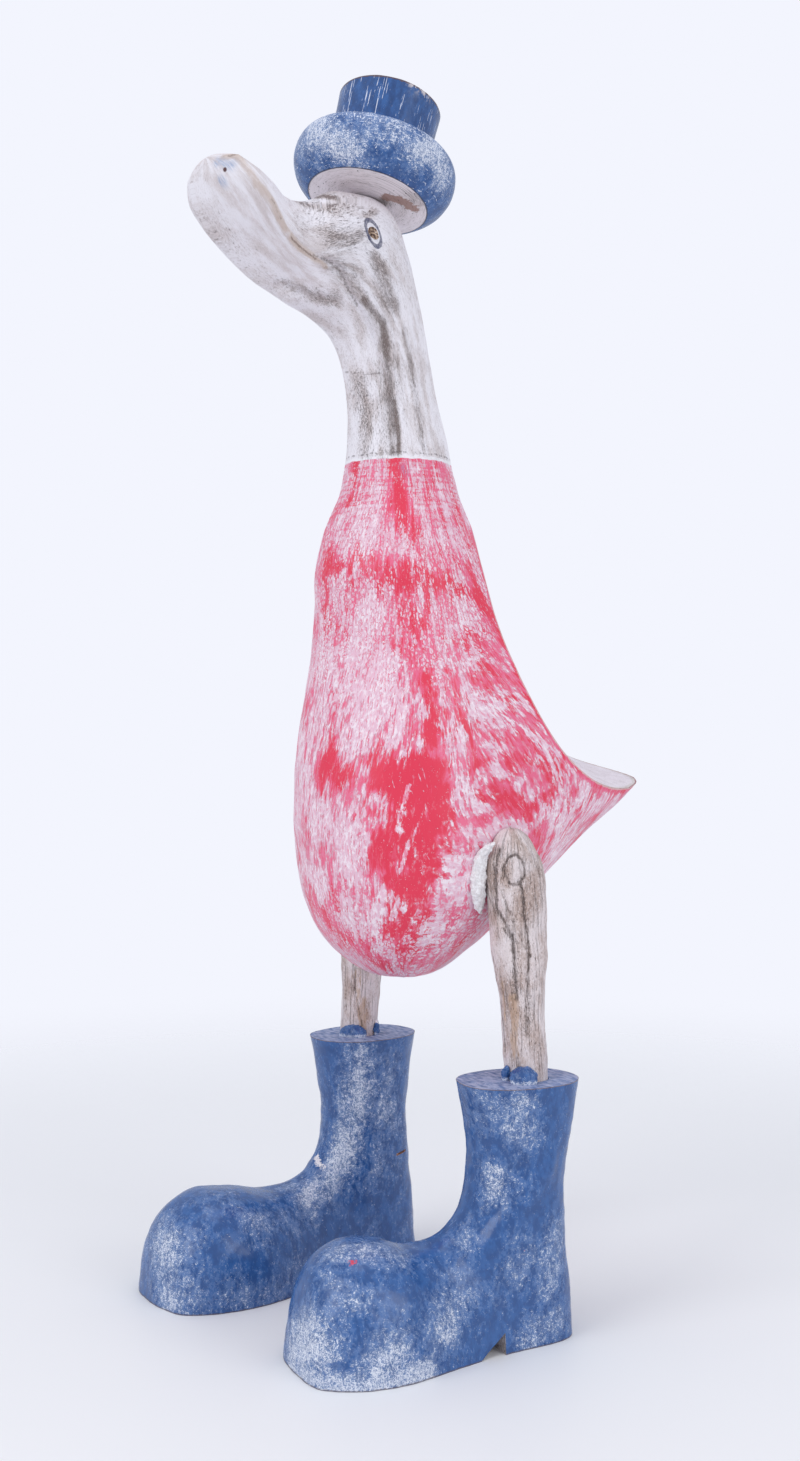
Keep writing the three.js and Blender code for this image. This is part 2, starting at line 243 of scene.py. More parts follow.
def carve(piece, *tools):
    """Cuts the tools away from the piece. A cut face has its tool's material."""
    for tool in tools:
        cut = piece.modifiers.new("cut", "BOOLEAN")
        cut.operation = "DIFFERENCE"
        cut.solver = "MANIFOLD"
        cut.material_mode = "TRANSFER"
        cut.object = tool
    graph = bpy.context.evaluated_depsgraph_get()
    carved = bpy.data.meshes.new_from_object(piece.evaluated_get(graph))
    piece.modifiers.clear()
    piece.data = carved
    for tool in tools:
        bpy.data.objects.remove(tool)


def finish_mesh(piece, crease=35):
    """Smooth faces, with sharp edges where they meet at more than this angle."""
    piece.data.name = piece.name
    piece.data.polygons.foreach_set("use_smooth", [True] * len(piece.data.polygons))
    piece.data.set_sharp_from_angle(angle=math.radians(crease))


def mark(mesh, **marks):
    """Keeps values at the points of a mesh, for its material to read."""
    for name, values in marks.items():
        values = values.reshape(len(mesh.vertices), -1)
        kind, field = ("FLOAT_VECTOR", "vector") if values.shape[1] == 3 else ("FLOAT", "value")
        mesh.attributes.new(name, kind, "POINT").data.foreach_set(field, values.ravel())


def dress(piece, grid, **marks):
    """Gives a carved mesh the marks that were worked out at the points of its skin."""
    points = grid.reshape(-1, 3)
    tree = kdtree.KDTree(len(points))
    for index, point in enumerate(points):
        tree.insert(point, index)
    tree.balance()
    nearest = [tree.find(vertex.co / MM)[1] for vertex in piece.data.vertices]
    for name, values in marks.items():
        mark(piece.data, **{name: values.reshape(len(points), -1)[nearest]})


def paint(red, green, blue):
    """A screen colour, 0 to 255, as the linear colour that a shader takes."""
    parts = np.array([red, green, blue]) / 255
    linear = np.where(parts <= 0.04045, parts / 12.92, ((parts + 0.055) / 1.055) ** 2.4)
    return (*linear.tolist(), 1.0)


class Value:
    """A value, place or colour in a node tree. Adding, taking away or multiplying adds a node."""

    def __init__(self, socket):
        self.socket, self.tree = socket, socket.id_data

    def __add__(self, other):
        return calc("ADD", self, other)

    def __sub__(self, other):
        return calc("SUBTRACT", self, other)

    def __mul__(self, other):
        return calc("MULTIPLY", self, other)

    def __abs__(self):
        return calc("ABSOLUTE", self)


def feed(made, inputs):
    """Links or sets the inputs of a node."""
    for name, value in inputs.items():
        if isinstance(value, Value):
            value.tree.links.new(value.socket, made.inputs[name])
        else:
            made.inputs[name].default_value = value


def node(tree, kind, inputs=None, output=0, **settings):
    """Adds a node, sets or links its inputs, and gives one of its outputs."""
    made = tree.nodes.new(kind if "Node" in kind else "ShaderNode" + kind)
    for name, value in settings.items():
        setattr(made, name, value)
    feed(made, inputs or {})
    return Value(made.outputs[output])


def calc(operation, a, b=0.0):
    return node(a.tree, "Math", {0: a, 1: b}, operation=operation)


def calc_place(operation, output=0, **inputs):
    """Vector arithmetic on a, b and c."""
    sockets = {"abc".index(name): value for name, value in inputs.items()}
    return node(inputs["a"].tree, "VectorMath", sockets, output, operation=operation)


def axis(vector, letter):
    return node(vector.tree, "SeparateXYZ", {0: vector}, output=letter)


def stretch(vector, size):
    """Scales a place, so that a pattern on it grows to this size in millimetres."""
    return calc_place("MULTIPLY", a=vector, b=tuple(1 / one for one in size))


def speckle(vector, size, detail=2.0, roughness=0.5, distortion=0.0):
    """Noise from 0 to 1, in spots of this size."""
    inputs = {"Vector": stretch(vector, size), "Scale": 1.0, "Detail": detail}
    inputs |= {"Roughness": roughness, "Distortion": distortion}
    return node(vector.tree, "TexNoise", inputs)


def rise(value, low, high):
    """0 below low, 1 above high, and smooth between."""
    inputs = {"Value": value, "From Min": low, "From Max": high}
    return node(value.tree, "MapRange", inputs, interpolation_type="SMOOTHSTEP")


def spread(value, at_none, at_full):
    """From one number where the value is 0 to another where it is 1."""
    return node(value.tree, "MapRange", {"Value": value, "To Min": at_none, "To Max": at_full})


def mix(share, a, b):
    return node(share.tree, "Mix", {0: share, 2: a, 3: b})


def blend(share, a, b):
    """From colour a where the share is 0 to colour b where it is 1."""
    tree = (share if isinstance(share, Value) else a).tree
    return node(tree, "Mix", {0: share, 6: a, 7: b}, output=2, data_type="RGBA")


def attribute(tree, name, output="Fac"):
    return node(tree, "Attribute", output=output, attribute_name=name)


def place(tree):
    """The place on the object, in millimetres."""
    here = node(tree, "TexCoord", output="Object")
    return node(tree, "VectorMath", {0: here, "Scale": 1000}, operation="SCALE")


def new_material(name):
    material = bpy.data.materials.new(name)
    material.use_nodes = True
    tree = material.node_tree
    tree.nodes.clear()
    return material, tree


def close_material(tree, height, distance, **inputs):
    """Ends a material in a Principled BSDF, over a bump of this height in millimetres."""
    bump = node(tree, "Bump", {"Height": height, "Distance": distance * MM, "Strength": 1.0})
    sockets = {name.replace("_", " "): value for name, value in inputs.items()}
    shader = node(tree, "BsdfPrincipled", {**sockets, "Normal": bump}, output="BSDF")
    feed(tree.nodes.new("ShaderNodeOutputMaterial"), {"Surface": shader})


def new_group(name, inputs, outputs):
    """A shader node group. Gives its tree, and its inputs by name."""
    tree = bpy.data.node_groups.new(name, "ShaderNodeTree")
    for label, value in inputs.items():
        kind = {3: "NodeSocketVector", 4: "NodeSocketColor"}.get(np.size(value), "NodeSocketFloat")
        socket = tree.interface.new_socket(label, in_out="INPUT", socket_type=kind)
        socket.default_value = value
    for label, kind in outputs.items():
        tree.interface.new_socket(label, in_out="OUTPUT", socket_type="NodeSocket" + kind)
    given = tree.nodes.new("NodeGroupInput").outputs
    return tree, {label: Value(given[label]) for label in inputs}


def close_group(tree, **outputs):
    feed(tree.nodes.new("NodeGroupOutput"), outputs)


def use_group(tree, group, inputs):
    """Places a node group in a material, and gives its outputs by name."""
    made = tree.nodes.new("ShaderNodeGroup")
    made.node_tree = group
    feed(made, inputs)
    return {socket.name: Value(socket) for socket in made.outputs}


# Bare wood rubbed with white: the white fills the pores and lies thin on the ridges, and grain,
# dirt and stains show through it in fine short strokes. Along is the place on the skin, with z
# along the grain.
washed_wood, inside = new_group(
    "washed wood",
    {
        "Along": (0.0, 0.0, 0.0),
        "Grain": 0.5,
        "Dirt": 0.0,
        "Bare": 0.3,
        "Wash": paint(236, 231, 238),
        "Wood": paint(190, 174, 168),
        "Dark": paint(80, 70, 70),
    },
    {"Color": "Color", "Height": "Float"},
)
flow = inside["Along"]
clouds = speckle(flow, (9, 9, 16), 3, 0.6)
grain = speckle(flow, (1.0, 1.0, 18), 4, 0.6, 0.5)
hairs = speckle(flow, (0.36, 0.36, 1.2), 3, 0.7, 0.8)
cross = speckle(flow, (1.3, 1.3, 0.36), 3, 0.65, 0.6)
pits = speckle(flow, (0.5, 0.5, 0.8), 3, 0.7)
soiled = inside["Dirt"] + (clouds - 0.5) * 1.1
bare = rise(clouds + hairs * 0.45, 0.58, 0.9) * inside["Bare"]
color = blend(bare, inside["Wash"], inside["Wood"])
lines = rise(grain, 0.54, 0.68) * inside["Grain"]
color = blend(lines * 0.5, color, inside["Dark"])
haze = rise(soiled + pits * 0.3, 0.2, 1.2)
color = blend(haze * 0.8, color, inside["Wood"])
faint = rise(hairs + soiled * 0.2, 0.48, 0.66)
color = blend(faint * 0.22, color, inside["Dark"])
shared = soiled * 0.21
strokes = rise(hairs + shared, 0.62, 0.72)
rungs = rise(cross + shared, 0.68, 0.8)
strokes = calc("MAXIMUM", strokes, rungs * 0.6)
color = blend(strokes * 0.6, color, inside["Dark"])
color = blend(rise(pits, 0.58, 0.66) * 0.6, color, paint(246, 243, 248))
close_group(washed_wood, Color=color, Height=pits * 0.4 - (lines + strokes))

# The skin of the duck: below the collar red paint, worn to a smooth pink, under crisp pale flecks
# where white was rubbed on, and above it washed wood with a dark ring painted round each eye
RED = paint(230, 56, 84)
MID_PINK = paint(236, 110, 144)
PALE_PINK = paint(233, 190, 207)
RUB_WHITE = paint(246, 231, 238)
COLLAR_HEIGHT = 334.9
COLLAR_LINE = 1.4  # the white line's width
EYE_CENTRES = [tuple(on_duck(EYE["row"], EYE["angle"], side)) for side in (1, -1)]
EYE_OVAL = (0.0, 1.5, 0.25)  # the ring round an eye is narrower along the head than upright
NOSTRIL = (24.6, -100.6, 431.2)

duck_paint, tree = new_material("duck paint")
flow = attribute(tree, "flow", "Vector")
here = place(tree)
bias = attribute(tree, "red")
height_here = axis(here, "Z")
rim = attribute(tree, "rim")
clouds = speckle(flow, (12, 12, 20), 3, 0.55)
tufts = speckle(flow, (3.2, 3.2, 11), 4, 0.65, 0.4)
streaks = speckle(flow, (0.85, 0.85, 5), 4, 0.65, 0.4)
crumbs = speckle(here, (0.85, 0.85, 1.2), 3, 0.6, 0.6)
fine = speckle(flow, (0.42, 0.42, 1.4), 2, 0.6, 0.5)
# Above and below, the white broke into small cells. Between, it was dragged into streaks, and
# under the collar it went round the neck.
wander = {"Vector": stretch(here, (1.1, 1.1, 1.1)), "Scale": 1.0}
wander = node(tree, "TexNoise", wander, output="Color")
cells = stretch(flow, (1.7, 1.7, 2.4))
cells = calc_place("MULTIPLY_ADD", a=wander, b=(1.1, 1.1, 1.1), c=cells)
cells = node(tree, "TexVoronoi", {"Vector": cells, "Scale": 1.0}, feature="DISTANCE_TO_EDGE")
uneven = height_here + (clouds - 0.5) * 60
zones = calc("MAXIMUM", rise(uneven, 236, 266), rise(uneven, 172, 154))
flecks = mix(zones * 0.85, streaks, cells * 1.25 + 0.33)
flecks = flecks + (speckle(flow, (1.1, 1.1, 17), 2, 0.6) - 0.5) * 0.5 + (fine - 0.5) * 0.34
rounds = speckle(here, (11, 11, 1.1), 2, 0.5, 0.6)
flecks = flecks + (rounds - 0.5) * rise(height_here, 298, 322) * 0.75
rubbed = (clouds - 0.5) * 0.8 + (tufts - 0.5) - bias - rise(rim, 0.1, 0.8) * 0.3
cover = rise(rubbed, -0.42, 0.06)
level = spread(cover, 0.77, 0.37)
pale = rise(flecks - level, 0.0, 0.04)
sideways = node(tree, "CombineXYZ", {1: axis(flow, "Z") * 0.26})
slant = calc_place("ADD", a=flow, b=sideways)
scratches = rise(speckle(slant, (0.6, 0.6, 11), 1, 0.5), 0.735, 0.76)
drawn = attribute(tree, "scratch") + (crumbs - 0.5) * 0.5
scratches = calc("MAXIMUM", scratches, rise(drawn, 0.78, 0.86))
scratches = calc("MAXIMUM", scratches, rise(crumbs, 0.66, 0.69))
pale = calc("MAXIMUM", pale, scratches)
halo = rise(flecks - level, -0.14, 0.02)
whiter = rise(speckle(flow, (1.1, 1.1, 2.6), 3, 0.65) + (clouds - 0.5) * 0.3, 0.43, 0.66)
strands = speckle(flow, (0.8, 0.8, 6), 3, 0.65, 0.4)
glaze = speckle(flow, (9, 9, 13), 2) + cover * 0.22 + (strands - 0.5) * 1.1
glaze = rise(glaze - bias, 0.28, 0.64)
color = blend(glaze, RED, MID_PINK)
color = blend(halo * 0.34, color, PALE_PINK)
drag = speckle(flow, (0.42, 0.42, 4.2), 3, 0.65, 0.3) - (cover - 0.7) * 0.16
drag = rise(drag, 0.52, 0.62) * 0.72
white = blend(whiter, PALE_PINK, RUB_WHITE)
white = blend(rise(fine, 0.56, 0.68) * 0.35, white, paint(206, 188, 204))
white = blend(drag, white, MID_PINK)
color = blend(pale, color, white)
bare_edge = rim + (crumbs - 0.5) * 0.3
color = blend(rise(bare_edge, 0.82, 0.92) * 0.7, color, paint(214, 198, 190))
head_wood = {
    "Along": stretch(flow, (1.6, 1.6, 1.0)),
    "Grain": 0.14,
    "Dirt": attribute(tree, "stain"),
    "Bare": 0.5,
    "Wash": paint(240, 236, 241),
    "Wood": paint(190, 171, 164),
    "Dark": paint(88, 71, 68),
}
wood = use_group(tree, washed_wood, head_wood)
over_collar = height_here + speckle(here, (5, 5, 5), 2) * 1.6
is_neck = rise(over_collar, COLLAR_HEIGHT + 0.6, COLLAR_HEIGHT + 0.9)
ragged = (crumbs - 0.5) * 3.0
line_top = COLLAR_HEIGHT + 0.6 + COLLAR_LINE
band = rise(over_collar + ragged, line_top + 0.3, line_top - 0.3)
band = is_neck * (band * 0.85)
edge = attribute(tree, "worn") + (crumbs - 0.5) * 0.35
washed = blend(rise(edge, 0.3, 0.8) * 0.55, wood["Color"], paint(186, 158, 134))
washed = blend(rise(edge, 0.82, 0.94) * 0.7, washed, paint(112, 88, 76))
# Painted shade darkens the carved groove down each cheek, and the same mark draws the dark line
# along the wash's edge across the throat
crease = attribute(tree, "crease") + (crumbs - 0.5) * 0.6
washed = blend(rise(crease, 0.86, 1.02) * 0.5, washed, paint(104, 88, 84))
smudge = attribute(tree, "smudge") * rise(streaks, 0.4, 0.6)
color = blend(smudge * 0.8, color, paint(156, 150, 190))
washed = blend(smudge, washed, paint(122, 150, 190))
eyes = []
for centre in EYE_CENTRES:
    from_eye = calc_place("SUBTRACT", a=here, b=centre)
    lengthwise = calc_place("DOT_PRODUCT", "Value", a=from_eye, b=EYE_OVAL)
    oval = node(tree, "CombineXYZ", {1: lengthwise, 2: axis(from_eye, "Z")})
    elsewhere = rise(calc_place("LENGTH", "Value", a=from_eye), 9, 10) * 99.0
    eyes.append(calc_place("LENGTH", "Value", a=oval) + elsewhere)
eye_far = calc("MINIMUM", *eyes) + (tufts - 0.5) * 0.7
ring = rise(eye_far, 4.0, 4.4) * rise(eye_far, 6.3, 5.9)
washed = blend(rise(eye_far, 4.2, 3.9) * 0.7, washed, paint(232, 230, 236))
brushed = {"Value": crumbs, "From Min": 0.35, "From Max": 0.6, "To Min": 0.96, "To Max": 0.62}
washed = blend(ring * node(tree, "MapRange", brushed), washed, paint(50, 56, 92))
nostril = calc_place("DISTANCE", "Value", a=here, b=NOSTRIL)
washed = blend(rise(nostril, 1.0, 0.6), washed, paint(92, 62, 62))
dark_line = rise(abs(over_collar - (line_top + 1.1)), 0.45, 0.2) * rise(tufts, 0.48, 0.54)
washed = blend(dark_line * 0.6, washed, paint(96, 84, 88))
color = blend(is_neck, color, washed)
color = blend(band, color, paint(244, 242, 246))
height = mix(is_neck, pale * 0.35 + streaks * 0.5, wood["Height"])
close_material(tree, height, 0.2, Base_Color=color, Roughness=mix(pale, 0.42, 0.6), IOR=1.45)

hollow_wood, tree = new_material("hollow wood")
wood = use_group(tree, washed_wood, {"Along": place(tree), "Grain": 0.4, "Dirt": 0.1, "Bare": 0.3})
color = blend(0.5, wood["Color"], paint(238, 224, 232))
rim = attribute(tree, "rim") + (speckle(place(tree), (1.1, 1.1, 1.1), 3, 0.7) - 0.5) * 0.4
color = blend(rise(rim, 0.2, 0.7) * 0.45, color, paint(190, 184, 166))
color = blend(rise(rim, 0.84, 0.94) * 0.75, color, paint(150, 66, 78))
close_material(tree, wood["Height"], 0.15, Base_Color=color, Roughness=0.6)

bare_wood, tree = new_material("bare wood")
wood = use_group(tree, washed_wood, {"Along": place(tree), "Grain": 0.8, "Dirt": 0.6, "Bare": 1.0})
close_material(tree, wood["Height"], 0.2, Base_Color=wood["Color"], Roughness=0.75)

t = even_rings(DUCK_SECTIONS, DUCK_RINGS, HEAD_FROM, HEAD_FINENESS)[1:-1]
turn = even_turn(DUCK_SECTIONS, t, DUCK_SIDES)
grid = pose_duck(skin(DUCK_SECTIONS, t, turn))
run = np.append(0, np.cumsum(np.linalg.norm(np.diff(grid, axis=0), axis=2).mean(1)))
# The brush and the rag went down the breast a little forwards and down the flanks to the tail.
# The drift is in radians for each millimetre of height.
UNROLL_RADIUS = 45
FORWARD_DRIFT, BACKWARD_DRIFT = 0.0036, 0.0062
side_share = np.sin(2 * turn + np.radians(44) + np.pi)
drift = side_share * np.where(side_share > 0, FORWARD_DRIFT, BACKWARD_DRIFT)
brushed_to = turn - drift * (np.clip(grid[..., 2], 185, 340) - 250)
flow = [UNROLL_RADIUS * np.cos(brushed_to), UNROLL_RADIUS * np.sin(brushed_to)]
flow = np.stack([*flow, run[:, None] + 0 * turn], -1)

# Low facets from the knife, and lines and ridges cut on purpose, as heights above the skin
relief = 0.45 * lumps(grid, 24, 1) + 0.12 * lumps(flow, 5, 2, (1, 1, 3)) - 0.3
BILL_TIP_FROM = 0.955  # share of the duck's length from where the bill's tip is rubbed round
TIP_ROUNDS = 60
BILL_EDGE = [
    (14.2, -103.4, 438.1),
    (23.5, -101.2, 436.1),
    (27.2, -97.5, 436.1),
    (32.9, -92.1, 425.4),
    (32.6, -85.7, 420.2),
    (29.4, -78.5, 411.8),
    (27.2, -71, 407.8),
    (25.2, -58.1, 402.6),
]
JAW = [(6, -69, 397.5), (11, -66, 395.5), (15, -59, 392.5), (17.5, -50, 391)]
WASH_EDGE = [(1.9, -35.9, 370.3), (11.1, -33.7, 368.4), (16.6, -29.8, 368.3)]
stain = np.zeros(turn.shape)
# Painted shade along the carved cheek grooves, and the wash's dark edge line
crease = np.zeros(turn.shape)
for side in (1, -1):
    path = [on_duck(row, degrees, side) for row, degrees in CHEEK_LINE]
    valley = [on_duck(row, degrees - 9, side) for row, degrees in CHEEK_LINE[2:]]
    relief -= CHEEK_LINE_DEPTH * near_path(grid, path, CHEEK_LINE_WIDTH)
    relief -= 1.1 * near_path(grid, valley, 4.5)
    crease = np.maximum(crease, near_path(grid, path[1:6], 2.0))
    eye = on_duck(EYE["row"], EYE["angle"], side)
    away = np.linalg.norm(grid - eye, axis=-1)
    relief -= 0.3 * np.exp(-(((away - 4.2) / 0.8) ** 2))
crease = np.maximum(crease, 1.15 * near_path(grid, WASH_EDGE, 1.6))
relief += 0.7 * near_path(grid, BILL_EDGE[1:], 1.3)
relief -= 1.1 * near_path(grid, JAW, 2.4)
relief *= smooth(t, 0, 0.012)[:, None] * smooth(t, 1, 0.985)[:, None]
grid = grid + outward(grid) * relief[..., None]
tip = t > BILL_TIP_FROM
round_tip = grid[tip]
for _ in range(TIP_ROUNDS):
    ahead = np.concatenate([round_tip[1:], np.roll(round_tip[-1:], round_tip.shape[1] // 2, 1)])
    behind = np.concatenate([grid[~tip][-1:], round_tip[:-1]])
    beside = np.roll(round_tip, 1, 1) + np.roll(round_tip, -1, 1)
    round_tip = 0.5 * round_tip + 0.125 * (ahead + behind + beside)
grid = np.concatenate([grid[~tip], round_tip])
low, high = (np.array(corner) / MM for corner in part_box("duck_body"))
grid = np.clip(grid, low, high)

# Red left bare by the rag (negative: white rubbed on), beyond what chance gives: half-width,
# strength, and the places it runs through, as angle round the body from its left side and height
RED_STROKES = [
    (5, 0.28, [(-84, 336), (-80, 320)]),
    (5, 0.28, [(-36, 336), (-34, 318)]),
    (4, 0.2, [(-30, 318), (-24, 302)]),
    (4, 0.08, [(5, 334), (8, 322)]),
    (5, 0.16, [(-90, 294), (-78, 291)]),
    (4, 0.15, [(-74, 293), (-50, 294)]),
    (6, 0.09, [(-46, 289), (-30, 288)]),
    (6, 0.12, [(-28, 290), (-16, 286)]),
    (4, 0.15, [(-12, 287), (4, 284), (16, 278)]),
    (3, 0.2, [(16, 292), (22, 276)]),
    (5, 0.12, [(-30, 281), (-26, 266)]),
    (3, 0.15, [(-32, 262), (-30, 250)]),
    (2.6, 0.13, [(-24, 262), (-20, 244)]),
    (2.6, 0.22, [(-25, 248), (-23, 236), (-25, 224)]),
    (2.4, 0.09, [(-14, 252), (-10, 236)]),
    (2.4, 0.1, [(-8, 234), (0, 216)]),
    (3.5, 0.16, [(-90, 284), (-90, 268)]),
    (6.5, 0.3, [(-76, 217), (-71, 211)]),
    (8, 0.3, [(-43, 214), (-33, 211)]),
    (9, 0.26, [(-31, 206), (-27, 192), (-29, 176)]),
    (5, 0.24, [(-20, 214), (-15, 196)]),
    (7, 0.16, [(-34, 168), (-42, 154)]),
    (5, 0.2, [(-48, 188), (-44, 176)]),
    (6, 0.13, [(-104, 172), (-88, 156)]),
    (6, 0.13, [(-76, 150), (-52, 140)]),
    (6, 0.12, [(-28, 158), (-24, 146)]),
    (3, 0.1, [(26, 216), (38, 212)]),
    (4, 0.09, [(4, 206), (14, 200)]),
    (4, 0.09, [(22, 206), (30, 200)]),
    (3, 0.08, [(16, 198), (24, 192)]),
    (9, -0.14, [(-55, 312), (-45, 306)]),
    (8, -0.08, [(4, 318), (10, 306)]),
    (10, -0.15, [(-56, 262), (-52, 236)]),
    (8, 0.05, [(6, 262), (12, 236)]),
    (8, -0.15, [(-72, 194), (-64, 178)]),
    (7, -0.03, [(-6, 186), (-8, 168)]),
]
patch = np.radians((np.degrees(turn) + 180) % 360 - 180) * UNROLL_RADIUS
patch = np.stack([patch, grid[..., 2], 0 * patch], -1)
red = 0.03 + 0.05 * smooth(np.cos(turn), 0.2, 0.95)
for width, strength, path in RED_STROKES:
    path = [(math.radians(angle) * UNROLL_RADIUS, level, 0) for angle, level in path]
    red += strength * near_path(patch, path, width)
# Round the top of the leg the white is thick, and outside it a ring of red is bare.
red -= 0.3 * near_path(grid, [(52, -2, 188), (50, 5, 192), (46, 14, 191)], 4)
red += 0.12 * near_path(grid, [(50, -9, 190), (50, -2, 196), (48, 8, 199), (46, 18, 197)], 2.2)

# Long scratches with white in them
SCRATCHES = [
    [(42.3, -32.6, 208.8), (40, -36.5, 191.2)],
    [(42.7, -32.9, 187.1), (39.8, -35, 175.7)],
    [(44.6, -27, 200), (43.4, -31, 190)],
    [(47.2, -20, 199), (48.6, -18.6, 190)],
]
scratch = np.max([near_path(grid, path, 2.1) for path in SCRATCHES], axis=0)

# Stains on the head and neck, with painted shade in the neck's valley and the jaw's crease, and
# painted light on the bill: half-width, strength and the places they run through
HEAD_STAINS_AND_PAINTED_LIGHT = [
    # The first seven rows run down the valley between the neck's front and its side: dark stain
    # there, and painted shade
    (2.2, 0.9, [(21.3, -38.8, 393.9), (20.9, -30.3, 386.8), (19.7, -28.2, 378.4)]),
    (5.0, 0.35, [(22, -44, 398), (21, -34, 388), (19.7, -28.2, 378.4)]),
    (1.8, 0.8, [(19.7, -28.2, 378.4), (19, -26.8, 369), (17.9, -25.1, 357.7)]),
    (2.3, 0.85, [(17.9, -25.1, 360), (18.9, -24.8, 345.9), (20.3, -25.2, 337)]),
    (1.2, 1.15, [(19.0, -23.9, 358), (20.3, -23.4, 345.9), (21.8, -23.6, 337)]),
    (6.0, 0.42, [(17.9, -25.1, 372), (18.2, -26, 345.9), (19.5, -26.4, 337)]),
    (1.0, 0.6, [(15.5, -29.4, 356), (16, -29.5, 346), (17, -29.8, 337)]),
    (1.6, 0.5, [(21.8, -20.7, 384.8), (21.7, -17.3, 369.7), (22.8, -15.2, 354.1),
                (24.8, -13.8, 338)]),
    # Painted shade in the crease between the bill's underside and the throat, along the jaw
    (4.2, 0.62, [(9.8, -68.3, 398.6), (14.1, -63.4, 395.7), (17.1, -50.6, 393.1)]),
    (5.0, 0.4, [(27, -70.8, 415.6), (21.5, -59, 422.9), (19.4, -46.6, 429.5)]),
    (2.6, 1.1, [(10, -52, 434.4), (16, -49.6, 434)]),
    (5.0, 0.75, [(14, -62, 430), (20, -54, 427)]),
    (2.2, 0.7, [(21.6, -38.5, 426.5), (18.8, -32.2, 430.3)]),
    (5.0, 0.6, [(24.9, -36.5, 410), (24, -31.4, 402), (22.5, -27, 394)]),
    (7.0, 0.62, [(25.5, -54, 414), (24.5, -44, 418)]),
    (5.0, 0.5, [(24.8, -56.6, 404.8), (22, -46, 402)]),
    (5.0, 0.45, [(9, -34, 364), (10, -33, 352), (12, -33, 338)]),
    # Negative strength: painted light, lightening the bill's underside and side where they face
    # down into shade
    (14.0, -0.34, [(22, -100, 426), (26, -84, 412), (20, -66, 402)]),
]
# The stain mark carries these real stains together with their painted shade and painted light
for width, strength, path in HEAD_STAINS_AND_PAINTED_LIGHT:
    spot = strength * near_path(grid, path, width)
    stain = np.maximum(stain, spot) if strength > 0 else stain + spot
worn = 0.95 * near_path(grid, BILL_EDGE[1:], 2.2) * np.clip(1 + 0.6 * lumps(grid, 6, 31), 0, 1)
SMUDGES = [
    (1.8, [(21, -101.5, 434.6), (27, -99, 432.5)]),
    (1.6, [(22, -101, 428), (23, -101, 426)]),
    (1.5, [(23.5, -22.4, 331.5), (24, -22, 329)]),
]
smudge = np.max([near_path(grid, path, width) for width, path in SMUDGES], axis=0)

lowest = pose_duck(np.array(LOWEST_POINT))
duck = closed_skin("duck_body_skin", grid, lowest, grid[-1].mean(0), duck_paint)

# The hollow: seen from the side a tight arc at the tail runs into a wide one up the back. It
# leans and slants to the left, where it is deepest.
SCOOP_PLACE = (30, 92.5, 204)
TAIL_RADIUS = 70
BACK_RADIUS = 150
SCOOP_JOIN = math.radians(52)
SCOOP_LEAN = 13
SCOOP_SLANT = 19
SCOOP_WIDTH = 150
CLEAR = 150.0  # beyond the duck on every side


def turned(points, degrees_x=0.0, degrees_y=0.0, degrees_z=0.0, move=(0, 0, 0)):
    """Turns points about X, then Y, then Z, and moves them."""
    spin = Matrix.Rotation(math.radians(degrees_z), 3, "Z")
    spin = spin @ Matrix.Rotation(math.radians(degrees_y), 3, "Y")
    spin = spin @ Matrix.Rotation(math.radians(degrees_x), 3, "X")
    return points @ np.array(spin).T + np.array(move)


def outward_faces(made):
    """Points the faces of a closed mesh outwards."""
    mesh = made.data
    co = np.array([v.co for v in mesh.vertices])
    volume = 0.0
    for face in mesh.polygons:
        a, *rest = [co[v] for v in face.vertices]
        volume += sum(np.dot(a, np.cross(b, c)) for b, c in zip(rest[:-1], rest[1:]))
    if volume < 0:
        mesh.flip_normals()
    return made


def thick_sheet(name, sheet, far_sheet, *materials):
    """A closed mesh between a sheet of points and its far copy."""
    at = np.arange(sheet[..., 0].size).reshape(sheet.shape[:2])
    quads = np.stack([at[:-1, :-1], at[:-1, 1:], at[1:, 1:], at[1:, :-1]], -1).reshape(-1, 4)
    faces = quads.tolist() + (quads[:, ::-1] + at.size).tolist()
    rim = at[0].tolist() + at[1:, -1].tolist() + at[-1, -2::-1].tolist() + at[-2:0:-1, 0].tolist()
    faces += [[b, a, a + at.size, b + at.size] for a, b in zip(rim, rim[1:] + rim[:1])]
    points = np.concatenate([sheet.reshape(-1, 3), far_sheet.reshape(-1, 3)])
    return outward_faces(mesh_object(name, points, faces, *materials))


def place_scoop(points):
    return turned(points, 0, SCOOP_LEAN, -SCOOP_SLANT, SCOOP_PLACE) + CENTRE


join = -math.pi / 2 - SCOOP_JOIN
wider = BACK_RADIUS - TAIL_RADIUS
middle = (wider * math.sin(SCOOP_JOIN), TAIL_RADIUS + wider * math.cos(SCOOP_JOIN))
profile = [
    (TAIL_RADIUS * math.cos(a), TAIL_RADIUS + TAIL_RADIUS * math.sin(a))
    for a in np.linspace(-math.pi / 4, join, 100)
]
profile += [
    (middle[0] + BACK_RADIUS * math.cos(a), middle[1] + BACK_RADIUS * math.sin(a))
    for a in np.linspace(join, -math.pi, 90)[1:]
]
profile += [(middle[0] - BACK_RADIUS, z) for z in np.linspace(middle[1], BACK_RADIUS, 24)[1:]]
profile = np.array(profile)
across = np.linspace(-SCOOP_WIDTH / 2, SCOOP_WIDTH / 2, 126)
sheet = np.stack(np.broadcast_arrays(across, profile[:, :1], profile[:, 1:]), -1)
sheet = sheet + 0.25 * lumps(sheet, 14, 7, (1, 3, 3))[..., None] * np.array([0, -0.6, -0.8])
far_sheet = sheet + CLEAR * np.array([0, 0.55, 0.83])
scoop = thick_sheet("scoop", place_scoop(sheet), place_scoop(far_sheet), hollow_wood)

# The hat stands on the head where it is sawn flat.
HAT_SEAT = {"y": -32.4, "z": 438.4, "tilt": -16.3, "lean": -3.1}


